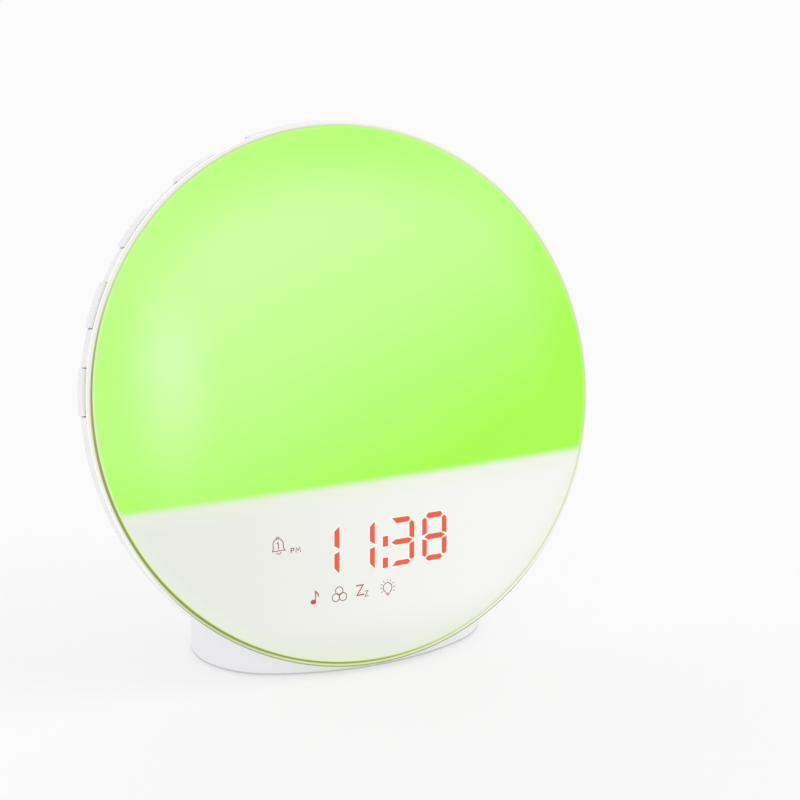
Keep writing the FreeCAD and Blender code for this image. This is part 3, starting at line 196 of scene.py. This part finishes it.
lensLook = {
    "deepGreen": "#A8FC4A",
    "paleGreen": "#D8FFB4",
    "whiteLeft": "#E7E9E1",
    "whiteRight": "#F4F4F1",
    "lowerEdge": "#DDE2D0",
    "greenWhite": "#ECF3DC",
    "rimLine": "#96A05C",
    "rimGlow": "#E2F2B4",
    "unlit": "#262626",
    # places on the face, from its middle
    "boundary": -28.8,
    "boundaryBelow": 2.0,
    "boundaryAbove": 1.6,
    # a pale patch on the left of the green, which is a painted highlight on the dome
    "paintedHighlight": (-62.0, 15.0),
    "paintedHighlightReach": (19.0, 42.0),
    "edgeShade": (66.0, 86.0),
    "topLeftShade": (56.0, 84.0),
    "whiteDrift": (-75.0, 40.0),
    "greenSpill": 9.0,
    "rimSpill": (82.0, 88.0),
    "lowerShade": (-70.0, -86.0),
    "glowRing": (87.45, 87.9),
    "lineRing": (88.15, 88.4),
    # a direction from the middle, anticlockwise from the right, with where its side begins and is full
    "topLeft": (118.0, 0.3, 0.9),
    "lowLeft": (218.0, 0.15, 0.85),
    # how much of each at most, or away from the low left and towards it
    "greenSpillMost": 0.55,
    "rimSpillMost": 0.42,
    "lowerShadeMost": 0.4,
    "glowShare": (0.3, 0.9),
    "lineShare": (0.25, 1.0),
    # how pale the green is: 0 is deep and 1 is pale
    "paleAtMiddle": 0.29,
    "paleUp": 0.0075,
    "paleUpEnds": 52.0,
    "paleAcross": -0.0028,
    "paintedHighlightGain": 0.34,
    "edgeLoss": -0.14,
    "topLeftLoss": -0.28,
    "cloudSize": 45.0,
    "cloudGain": 0.12,
    "brightness": 0.985,
    "rough": 0.55,
    "gloss": 0.12,
    "grain": 0.5,
    "grainDepth": 0.004,
}


def paleness(tree, x, y, radius):
    look = lensLook
    rise = calc(tree, "MULTIPLY", calc(tree, "MINIMUM", y, look["paleUpEnds"]), look["paleUp"])
    pale = calc(tree, "ADD", rise, calc(tree, "MULTIPLY_ADD", x, look["paleAcross"], look["paleAtMiddle"]))
    # A pale patch on the left is a painted highlight
    spotX = calc(tree, "DIVIDE", calc(tree, "SUBTRACT", x, look["paintedHighlight"][0]), look["paintedHighlightReach"][0])
    spotY = calc(tree, "DIVIDE", calc(tree, "SUBTRACT", y, look["paintedHighlight"][1]), look["paintedHighlightReach"][1])
    spotFar = calc(tree, "SQRT", calc(tree, "ADD", calc(tree, "MULTIPLY", spotX, spotX),
                                      calc(tree, "MULTIPLY", spotY, spotY)))
    pale = calc(tree, "ADD", pale, fade(tree, spotFar, 0.0, 1.0, look["paintedHighlightGain"], 0.0))
    pale = calc(tree, "ADD", pale, fade(tree, radius, *look["edgeShade"], 0.0, look["edgeLoss"]))
    topLeft = calc(tree, "MULTIPLY", towards(tree, x, y, radius, *look["topLeft"]),
                   fade(tree, radius, *look["topLeftShade"]))
    pale = calc(tree, "ADD", pale, calc(tree, "MULTIPLY", topLeft, look["topLeftLoss"]))
    cloud = calc(tree, "MULTIPLY_ADD", noise(tree, look["cloudSize"], 2.0), look["cloudGain"], -look["cloudGain"] / 2)
    clamped = addNode(tree, "ShaderNodeMapRange", {"clamp": True}, {"Value": calc(tree, "ADD", pale, cloud)})
    return clamped.outputs["Result"]


def buildLensMaterial():
    # Opal polycarbonate lit from behind: matte, even light whose green and white zones run into each other, with a
    # painted highlight on the left of the green
    look = lensLook
    material, tree, shader = newMaterial("opalPolycarbonate")
    x, y, radius = faceFrame(tree)
    green = mixed(tree, paleness(tree, x, y, radius), linear(look["deepGreen"]), linear(look["paleGreen"]))
    white = mixed(tree, fade(tree, x, *look["whiteDrift"]), linear(look["whiteLeft"]), linear(look["whiteRight"]))
    spill = fade(tree, y, look["boundary"] - look["greenSpill"], look["boundary"], 0.0, look["greenSpillMost"])
    rimSpill = fade(tree, radius, *look["rimSpill"], 0.0, look["rimSpillMost"])
    white = mixed(tree, calc(tree, "MAXIMUM", spill, rimSpill), white, linear(look["greenWhite"]))
    shade = fade(tree, y, *look["lowerShade"], 0.0, look["lowerShadeMost"])
    white = mixed(tree, shade, white, linear(look["lowerEdge"]))
    upper = fade(tree, y, look["boundary"] - look["boundaryBelow"], look["boundary"] + look["boundaryAbove"])
    colour = mixed(tree, upper, white, green)
    lowLeft = towards(tree, x, y, radius, *look["lowLeft"])
    glow = calc(tree, "MULTIPLY", fade(tree, radius, *look["glowRing"]),
                fade(tree, lowLeft, 0.0, 1.0, *look["glowShare"]))
    colour = mixed(tree, glow, colour, linear(look["rimGlow"]))
    line = calc(tree, "MULTIPLY", fade(tree, radius, *look["lineRing"]),
                fade(tree, lowLeft, 0.0, 1.0, *look["lineShare"]))
    colour = mixed(tree, line, colour, linear(look["rimLine"]))
    tree.links.new(colour, shader.inputs["Emission Color"])
    shader.inputs["Emission Strength"].default_value = look["brightness"]
    shader.inputs["Base Color"].default_value = linear(look["unlit"])
    shader.inputs["Roughness"].default_value = look["rough"]
    shader.inputs["Specular IOR Level"].default_value = look["gloss"]
    addBump(tree, shader, noise(tree, look["grain"]), look["grainDepth"])
    return material


# Clear ring that carries some of the light round the face

ringLook = {
    "pale": "#F6F5EE",
    "bright": "#FBFDF3",
    "warm": "#DAEA9C",
    "deep": "#7F8C34",
    "body": "#565A4C",
    "bodyOther": "#5F6354",
    "bodyPatch": 6.0,
    # distances from the middle of the face
    "outerHalf": (89.2, 89.6),
    "innerLine": (89.1, 88.75),
    "thickLine": (89.4, 89.0),
    "outerLine": (89.4, 89.65),
    # a direction from the middle, anticlockwise from the right, with where its side begins and is full
    "warmSide": (235.0, 0.35, 0.95),
    "brightSide": (15.0, -0.2, 0.5),
    "paleSide": (196.0, 0.25, 0.8),
    "lineSide": (218.0, 0.1, 0.9),
    "thickSide": (210.0, 0.7, 0.97),
    "bottomSide": (266.0, 0.45, 0.95),
    # how strong the inner line is away from its side, and the outer line at most
    "innerLeast": 0.35,
    "outerMost": 0.85,
    "brightness": 0.82,
    "rough": 0.14,
    "gloss": 0.3,
}


def buildRingMaterial():
    # Polished clear acrylic: it is bright where it passes light on, and dark in a line where it bends it away
    look = ringLook
    material, tree, shader = newMaterial("polishedAcrylic")
    x, y, radius = faceFrame(tree)
    side = {name: towards(tree, x, y, radius, *look[name])
            for name in ("warmSide", "brightSide", "paleSide", "lineSide", "thickSide", "bottomSide")}
    colour = mixed(tree, side["brightSide"], linear(look["pale"]), linear(look["bright"]))
    colour = mixed(tree, side["warmSide"], colour, linear(look["warm"]))
    outerLeft = calc(tree, "MULTIPLY", fade(tree, radius, *look["outerHalf"]), side["paleSide"])
    colour = mixed(tree, outerLeft, colour, linear(look["pale"]))
    thin = calc(tree, "MULTIPLY", fade(tree, radius, *look["innerLine"]),
                fade(tree, side["lineSide"], 0.0, 1.0, look["innerLeast"], 1.0))
    thick = calc(tree, "MULTIPLY", fade(tree, radius, *look["thickLine"]), side["thickSide"])
    outer = calc(tree, "MULTIPLY", fade(tree, radius, *look["outerLine"]),
                 fade(tree, side["bottomSide"], 0.0, 1.0, 0.0, look["outerMost"]))
    lines = calc(tree, "MAXIMUM", calc(tree, "MAXIMUM", thin, thick), outer)
    colour = mixed(tree, lines, colour, linear(look["deep"]))
    tree.links.new(colour, shader.inputs["Emission Color"])
    shader.inputs["Emission Strength"].default_value = look["brightness"]
    body = mixed(tree, noise(tree, look["bodyPatch"]), linear(look["body"]), linear(look["bodyOther"]))
    tree.links.new(body, shader.inputs["Base Color"])
    shader.inputs["Roughness"].default_value = look["rough"]
    shader.inputs["Specular IOR Level"].default_value = look["gloss"]
    return material


# Plastics, metals and boards

looks = {
    # ABS moulded in a lightly sparked mould: white and satin, with a soft highlight. The real grain is
    # near 0.1 mm and is drawn ten times coarser, because a finer one only flickers at this distance
    "satinAbs": {"colour": "#F8F7F9", "other": "#F5F4F6", "patch": 30.0, "grain": 1.2, "rough": 0.5, "vary": 0.03,
                 "depth": 0.003, "ior": 1.54},
    # the same ABS from a finer mould, so the caps shine a little more
    "buttonAbs": {"colour": "#F8F7F9", "other": "#F6F5F8", "patch": 12.0, "grain": 1.0, "rough": 0.45, "vary": 0.03,
                  "depth": 0.002, "ior": 1.54},
    # the foot's ABS, with a grey band of painted contact shade along its joint to the base plate just over the table
    "footAbs": {"colour": "#F6F5F8", "other": "#F4F3F6", "patch": 25.0, "grain": 1.2, "rough": 0.42, "vary": 0.03,
                "depth": 0.003, "ior": 1.54, "paintedContactShadeColour": "#C6C6C9", "paintedContactShadeTop": 1.1},
    # chalk-filled polycarbonate that scatters light: dead white and matte
    "reflectorWhite": {"colour": "#F2F2F0", "other": "#EDEDEA", "patch": 18.0, "grain": 0.5, "rough": 0.62,
                       "vary": 0.05, "depth": 0.004, "ior": 1.58},
    # glass-filled black nylon and moulded chip packages: dark, dry and faintly mottled
    "blackNylon": {"colour": "#17181A", "other": "#222326", "patch": 3.0, "grain": 0.3, "rough": 0.5, "vary": 0.08,
                   "depth": 0.01, "ior": 1.53},
    # green solder mask over woven glass board: glossy, with a faint weave-sized mottle
    "solderMask": {"colour": "#12553A", "other": "#1A6546", "patch": 2.5, "grain": 0.6, "rough": 0.36, "vary": 0.08,
                   "depth": 0.02, "coat": 0.25, "ior": 1.52},
    # yellow phosphor in clear silicone: small, glossy and uneven in colour
    "phosphorLamp": {"colour": "#F4E7B8", "other": "#E9D58E", "patch": 1.2, "grain": 0.4, "rough": 0.25,
                     "vary": 0.05, "depth": 0.01, "coat": 0.4, "ior": 1.41},
    # red tinted acrylic light guides: polished, with slight flow marks
    "tintedAcrylic": {"colour": "#E8553F", "other": "#D9432F", "patch": 3.0, "grain": 0.4, "rough": 0.18,
                      "vary": 0.05, "depth": 0.003, "coat": 0.3, "ior": 1.49},
    # zinc-plated steel: grey-white, with a fine brushed unevenness
    "zincSteel": {"colour": "#B4B5B8", "other": "#9FA0A4", "patch": 1.5, "grain": 0.15, "rough": 0.3, "vary": 0.1,
                  "depth": 0.006, "metal": 1.0},
    # turned brass pin: warm and bright
    "turnedBrass": {"colour": "#D9B765", "other": "#C7A14C", "patch": 1.0, "grain": 0.1, "rough": 0.24,
                    "vary": 0.06, "depth": 0.003, "metal": 1.0},
    # enamelled copper wire wound close: orange-brown, ribbed at the size of the wire
    "woundCopper": {"colour": "#B5683A", "other": "#9C5328", "patch": 1.0, "grain": 0.12, "rough": 0.35,
                    "vary": 0.08, "depth": 0.02, "metal": 1.0},
    # nitrile rubber and foam: near black and dull
    "dullRubber": {"colour": "#2A2A2C", "other": "#343436", "patch": 4.0, "grain": 0.4, "rough": 0.82, "vary": 0.08,
                   "depth": 0.03, "ior": 1.52},
    # pressed paper pulp of the cone: dark grey fibres, no shine
    "pulpPaper": {"colour": "#26262A", "other": "#34343A", "patch": 1.6, "grain": 0.25, "rough": 0.9, "vary": 0.05,
                  "depth": 0.04, "ior": 1.5},
    # PVC wire sleeve: black, smooth and slightly shiny
    "wireSleeve": {"colour": "#1B1C1E", "other": "#26272A", "patch": 3.0, "grain": 0.2, "rough": 0.4, "vary": 0.06,
                   "depth": 0.005, "ior": 1.53},
}

usedBy = {
    "satinAbs": ["button_band", "rear_shell", "base_plate"],
    "footAbs": ["foot_shell"],
    "reflectorWhite": ["light_box", "display_housing"],
    "blackNylon": ["processor", "amplifier", "cell_holder", "dc_jack", "lamp_connector", "speaker_basket",
                   "left_switches", "right_switches", "top_switches"],
    "solderMask": ["lamp_board", "display_board", "main_board", "inlet_board", "left_switch_board",
                   "right_switch_board", "top_switch_board"],
    "phosphorLamp": ["lamps", "display_lamps"],
    "tintedAcrylic": ["segment_guides", "icon_guides"],
    "zincSteel": ["wireless_module", "capacitors", "coin_cell", "speaker_yoke", "speaker_magnet", "case_screws",
                  "board_screws", "foot_screws", "speaker_screws"],
    "turnedBrass": ["jack_pin"],
    "woundCopper": ["voice_coil"],
    "dullRubber": ["rubber_pad", "speaker_surround", "speaker_gasket"],
    "pulpPaper": ["speaker_cone", "dust_cap"],
    "wireSleeve": ["speaker_leads", "power_leads", "button_leads", "display_ribbon"],
}


def dress():
    materials = {name: finished(name, look) for name, look in looks.items()}
    chosen = {node: materials[name] for name, listed in usedBy.items() for node in listed}
    chosen["front_lens"] = buildLensMaterial()
    chosen["edge_ring"] = buildRingMaterial()
    for name, node in nodes.items():
        material = chosen.get(name, materials["buttonAbs"])
        node.data.materials.clear()
        node.data.materials.append(material)


dress()
print("frame dressed")

# Glowing figures: four digits, a colon and the small signs

figureLook = {
    "digit": "#EC6347",
    "digitDeep": "#E85A3E",
    "sign": "#9C756E",
    "signOther": "#8F6862",
    "signRed": "#BA524C",
    "signRedOther": "#BE5650",
    "halo": "#FBF8EE",
    "haloOther": "#F7F9F5",
    "patch": 3.0,
    "rough": 0.6,
    "gloss": 0.1,
    # the halo's width, the digits' slant in degrees and the line they stand on
    "haloWidth": 0.42,
    "slant": 4.2,
    "base": -58.4,
    # each figure's lower and upper face over the lens
    "haloLift": (0.012, 0.024),
    "digitLift": (0.03, 0.06),
    "signLift": (0.03, 0.05),
}

strokes = {
    "top": [(1.4, 15.1), (2.3, 16.1), (6.9, 16.1), (7.7, 15.1), (6.8, 14.2), (2.3, 14.2)],
    "topOpen": [(1.0, 16.2), (7.1, 16.1), (7.8, 15.2), (6.9, 14.3), (2.6, 14.3)],
    "upperLeft": [(0.9, 14.7), (1.75, 14.0), (1.75, 9.4), (0.0, 8.7), (0.0, 14.0)],
    "upperRight": [(8.3, 14.7), (9.2, 13.8), (9.2, 8.6), (7.4, 9.3), (7.4, 13.8)],
    "upperOne": [(9.2, 16.2), (7.4, 14.7), (7.4, 9.9), (9.2, 8.8)],
    "middle": [(0.7, 8.1), (2.3, 9.0), (7.2, 9.0), (8.6, 8.1), (7.2, 7.2), (2.3, 7.2)],
    "lowerLeft": [(0.0, 7.6), (1.75, 6.9), (1.75, 2.2), (0.9, 1.5), (0.0, 2.2)],
    "lowerRight": [(9.2, 7.6), (9.2, 2.3), (8.3, 1.5), (7.4, 2.2), (7.4, 6.9)],
    "lowerOne": [(9.2, 7.9), (7.4, 7.3), (7.4, 2.6), (9.2, 0.7)],
    "bottom": [(1.3, 1.0), (2.3, 1.9), (6.8, 1.9), (7.7, 1.0), (6.8, 0.1), (2.2, 0.1)],
    "bottomOpen": [(1.0, 0.2), (2.6, 1.9), (7.0, 1.9), (7.8, 1.1), (6.9, 0.2)],
    "colonDot": [(0.0, 0.0), (1.9, 0.0), (1.9, 3.4), (0.0, 3.4)],
}

digits = [
    (-21.6, 0.0, ["upperOne", "lowerOne"]),
    (-8.9, -0.2, ["upperOne", "lowerOne"]),
    (5.6, 0.0, ["topOpen", "upperRight", "middle", "lowerRight", "bottomOpen"]),
    (17.8, 0.0, ["top", "upperLeft", "upperRight", "middle", "lowerLeft", "lowerRight", "bottom"]),
    (3.2, 0.1, ["colonDot"]),
    (3.2, 7.2, ["colonDot"]),
]


def slanted(u, v, x, drop):
    y = v + drop
    return x + u + y * math.tan(math.radians(figureLook["slant"])), figureLook["base"] + y


def grown(corners, width):
    # The same outline pushed outward by width, with sharp corners
    area = sum(a[0] * b[1] - b[0] * a[1] for a, b in zip(corners, corners[1:] + corners[:1]))
    turn = 1 if area > 0 else -1
    result = []
    for before, here, after in zip(corners[-1:] + corners[:-1], corners, corners[1:] + corners[:1]):
        one = Vector((here[1] - before[1], before[0] - here[0])).normalized() * turn
        two = Vector((after[1] - here[1], here[0] - after[0])).normalized() * turn
        reach = (one + two) / max(1 + one.dot(two), 0.35)
        result.append((here[0] + reach.x * width, here[1] + reach.y * width))
    return result


def addPlate(mesh, corners, low, high):
    # One face from its corners, lying on the dome, then drawn out to its thickness
    face = mesh.faces.new([mesh.verts.new(onFace(x, y, low)) for x, y in corners])
    drawn = bmesh.ops.extrude_face_region(mesh, geom=[face], use_keep_orig=True)["geom"]
    raised = [part for part in drawn if isinstance(part, bmesh.types.BMVert)]
    bmesh.ops.translate(mesh, verts=raised, vec=faceOut * (high - low) * mm)


def linePlates(points, width, closed=False):
    # A drawn line as one quadrilateral for each run, mitred where runs meet
    ends = []
    count = len(points)
    for i, here in enumerate(points):
        before = points[i - 1] if closed or i > 0 else None
        after = points[(i + 1) % count] if closed or i < count - 1 else None
        sides = []
        for first, second in ((before, here), (here, after)):
            if first is None or second is None:
                continue
            run = Vector((second[0] - first[0], second[1] - first[1])).normalized()
            sides.append(Vector((-run.y, run.x)))
        side = sides[0] if len(sides) == 1 else (sides[0] + sides[1]) / max(1 + sides[0].dot(sides[1]), 0.5)
        ends.append(((here[0] + side.x * width / 2, here[1] + side.y * width / 2),
                     (here[0] - side.x * width / 2, here[1] - side.y * width / 2)))
    runs = count if closed else count - 1
    plates = []
    for i in range(runs):
        a, b = ends[i], ends[(i + 1) % count]
        plates.append([a[1], b[1], b[0], a[0]])
    return plates


def ring(x, y, radius, count=28):
    return [(x + radius * math.cos(2 * math.pi * i / count), y + radius * math.sin(2 * math.pi * i / count))
            for i in range(count)]


def arc(x, y, radius, start, end, count=14):
    angles = [math.radians(start + (end - start) * i / count) for i in range(count + 1)]
    return [(x + radius * math.cos(a), y + radius * math.sin(a)) for a in angles]


def glowing(name, colour, other):
    # Film on the lens that the light shines through: matte, and as bright as its colour
    material, tree, shader = newMaterial(name)
    tone = mixed(tree, noise(tree, figureLook["patch"], 2.0), linear(colour), linear(other))
    tree.links.new(tone, shader.inputs["Emission Color"])
    shader.inputs["Emission Strength"].default_value = 1.0
    shader.inputs["Base Color"].default_value = linear(lensLook["unlit"])
    shader.inputs["Roughness"].default_value = figureLook["rough"]
    shader.inputs["Specular IOR Level"].default_value = figureLook["gloss"]
    return material


def sortParts(parts, key):
    for i, part in enumerate(sorted(parts, key=key)):
        part.index = i
    parts.sort()


def figurePiece(name, plates, material, low, high):
    mesh = bmesh.new()
    for corners in plates:
        addPlate(mesh, corners, low, high)
    bmesh.ops.recalc_face_normals(mesh, faces=mesh.faces)
    # Extruding leaves corners and faces in a different order each run, so both are put in order of place
    sortParts(mesh.verts, lambda vert: tuple(vert.co))
    sortParts(mesh.faces, lambda face: (*face.calc_center_median(), *face.normal))
    data = bpy.data.meshes.new(name)
    mesh.to_mesh(data)
    mesh.free()
    data.materials.append(material)
    piece = bpy.data.objects.new(name, data)
    bpy.context.scene.collection.objects.link(piece)
    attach(piece, "case")


signLook = {
    "line": 0.31,
    "bellFoot": [(-34.9, -47.2), (-34.5, -46.5), (-34.5, -45.0)],
    "bellTop": (-32.75, -45.0, 1.75),
    "bellEnd": [(-31.0, -46.5), (-30.6, -47.2)],
    "clapper": (-32.75, -47.5, 0.75),
    "bellKnob": (-32.75, -43.15, 0.45),
    "bellOne": [(-33.2, -44.9), (-32.7, -44.45), (-32.7, -46.6)],
    "letterP": [(-28.6, -48.6), (-28.45, -46.9)],
    "letterPBow": [(-28.45, -47.0), (-27.8, -47.0), (-27.45, -47.35), (-27.8, -47.75), (-28.5, -47.75)],
    "letterM": [(-26.9, -48.6), (-26.7, -46.9), (-26.15, -48.0), (-25.4, -46.9), (-25.4, -48.6)],
    "circles": [(-12.8, -63.4), (-14.1, -65.5), (-11.6, -65.5)],
    "circleRadius": 1.32,
    "circleHeart": [(-12.85, -65.0), (-12.85, -64.3)],
    "bulb": (4.55, -64.95, 1.6),
    "bulbNeck": [(3.75, -66.6), (5.35, -66.6)],
    "bulbCollar": [(3.8, -66.9), (5.3, -66.9)],
    "bulbBase": [(4.0, -67.4), (5.1, -67.4)],
    "rayCount": 9,
    "rayFrom": 2.15,
    "rayTo": 2.8,
    "noteHead": (-22.05, -65.75, 0.9975, 0.8),
    "noteStem": [(-21.3, -65.6), (-21.1, -62.1)],
    "noteFlag": [(-21.1, -62.1), (-20.7, -62.9), (-20.2, -63.4), (-20.25, -64.2)],
    "bigZ": [(-6.7, -62.7), (-4.2, -62.7), (-6.6, -65.9), (-4.0, -65.9)],
    "smallZ": [(-3.8, -64.9), (-2.6, -64.9), (-3.8, -66.6), (-2.5, -66.6)],
}


def brownSigns():
    look = signLook
    thin = look["line"]
    # alarm bell with a plain 1 in it
    plates = linePlates(look["bellFoot"] + arc(*look["bellTop"], 180, 0) + look["bellEnd"], thin, closed=True)
    plates += linePlates(arc(*look["clapper"], 200, 340), thin)
    plates += linePlates(arc(*look["bellKnob"], -20, 200), thin)
    plates += linePlates(look["bellOne"], thin * 1.3)
    # afternoon
    for letter in ("letterP", "letterPBow", "letterM"):
        plates += linePlates(look[letter], thin)
    # three circles
    for x, y in look["circles"]:
        plates += linePlates(ring(x, y, look["circleRadius"]), thin, closed=True)
    # lamp with rays
    left, right = look["bulbNeck"]
    plates += linePlates([left] + arc(*look["bulb"], 235, -55, 22) + [right], thin)
    plates += linePlates(look["bulbCollar"], thin)
    x, y, radius = look["bulb"]
    for i in range(look["rayCount"]):
        angle = math.radians(-30 + 240 * i / (look["rayCount"] - 1))
        reach = [(x + r * math.cos(angle), y + r * math.sin(angle)) for r in (look["rayFrom"], look["rayTo"])]
        plates += linePlates(reach, thin * 0.8)
    return plates + linePlates(look["smallZ"], thin)


def redSigns():
    look = signLook
    thin = look["line"]
    x, y, across, up = look["noteHead"]
    turns = [2 * math.pi * i / 18 for i in range(18)]
    plates = [[(x + across * math.cos(turn), y + up * math.sin(turn)) for turn in turns]]
    for name, share in (("circleHeart", 1.0), ("bulbBase", 1.0), ("noteStem", 1.2), ("noteFlag", 1.5), ("bigZ", 1.6)):
        plates += linePlates(look[name], thin * share)
    return plates


def buildFigures():
    look = figureLook
    plates = [[slanted(u, v, x, drop) for u, v in strokes[name]] for x, drop, names in digits for name in names]
    halo = [grown(corners, look["haloWidth"]) for corners in plates]
    haloFilm = glowing("litFilmHalo", look["halo"], look["haloOther"])
    digitFilm = glowing("litFilmDigits", look["digit"], look["digitDeep"])
    signFilm = glowing("litFilmSigns", look["sign"], look["signOther"])
    redFilm = glowing("litFilmRedSigns", look["signRed"], look["signRedOther"])
    figurePiece("digit_halo", halo, haloFilm, *look["haloLift"])
    figurePiece("digit_strokes", plates, digitFilm, *look["digitLift"])
    figurePiece("sign_lines", brownSigns(), signFilm, *look["signLift"])
    figurePiece("sign_marks", redSigns(), redFilm, *look["signLift"])


buildFigures()
print("figures built")

# Floor, light and white surroundings

roomLook = {
    "floor": "#FBFBFB",
    "floorOther": "#FAFAFA",
    "floorPatch": 400.0,
    "sky": 0.9,
    "skySeen": 0.97,
    "sunStrength": 0.45,
    "floorGlow": 0.6,
    "sunAngle": 45,
    "sunFrom": (0.8, -0.3, 1.0),
    "floorSize": 6.0,
}


def buildRoom():
    mesh = bmesh.new()
    bmesh.ops.create_grid(mesh, x_segments=24, y_segments=24, size=roomLook["floorSize"])
    data = bpy.data.meshes.new("floor")
    mesh.to_mesh(data)
    mesh.free()
    # Board painted matt white: one even tone with no highlight
    material, tree, shader = newMaterial("mattPaint")
    tone = mixed(tree, noise(tree, roomLook["floorPatch"]), linear(roomLook["floor"]), linear(roomLook["floorOther"]))
    # Part of the pale floor's light is its own, so the shadow on it stays as soft as on a lit table
    dimmed = mixed(tree, roomLook["floorGlow"], tone, linear("#000000"))
    tree.links.new(dimmed, shader.inputs["Base Color"])
    tree.links.new(tone, shader.inputs["Emission Color"])
    shader.inputs["Emission Strength"].default_value = roomLook["floorGlow"]
    shader.inputs["Roughness"].default_value = 0.9
    shader.inputs["Specular IOR Level"].default_value = 0.0
    data.materials.append(material)
    floor = bpy.data.objects.new("floor", data)
    bpy.context.scene.collection.objects.link(floor)
    world = bpy.data.worlds.new("world")
    bpy.context.scene.world = world
    world.use_nodes = True
    # The sky lights the object at one strength, and is seen, also in shiny metal, as bright as the floor
    background = world.node_tree.nodes["Background"]
    background.inputs["Color"].default_value = linear("#FFFFFF")
    path = addNode(world.node_tree, "ShaderNodeLightPath")
    seen = calc(world.node_tree, "MAXIMUM", path.outputs["Is Camera Ray"], path.outputs["Is Glossy Ray"])
    strength = fade(world.node_tree, seen, 0.0, 1.0, roomLook["sky"], roomLook["skySeen"])
    world.node_tree.links.new(strength, background.inputs["Strength"])
    sun = bpy.data.lights.new("sun", "SUN")
    sun.energy = roomLook["sunStrength"]
    sun.angle = math.radians(roomLook["sunAngle"])
    lamp = bpy.data.objects.new("sun", sun)
    bpy.context.scene.collection.objects.link(lamp)
    lamp.rotation_euler = Vector(roomLook["sunFrom"]).to_track_quat("Z", "Y").to_euler()
    bpy.context.scene.view_settings.view_transform = "Standard"
    # The lens shows its glow but throws no green on the floor and the foot
    nodes["front_lens"].visible_diffuse = False


buildRoom()
print("room built")
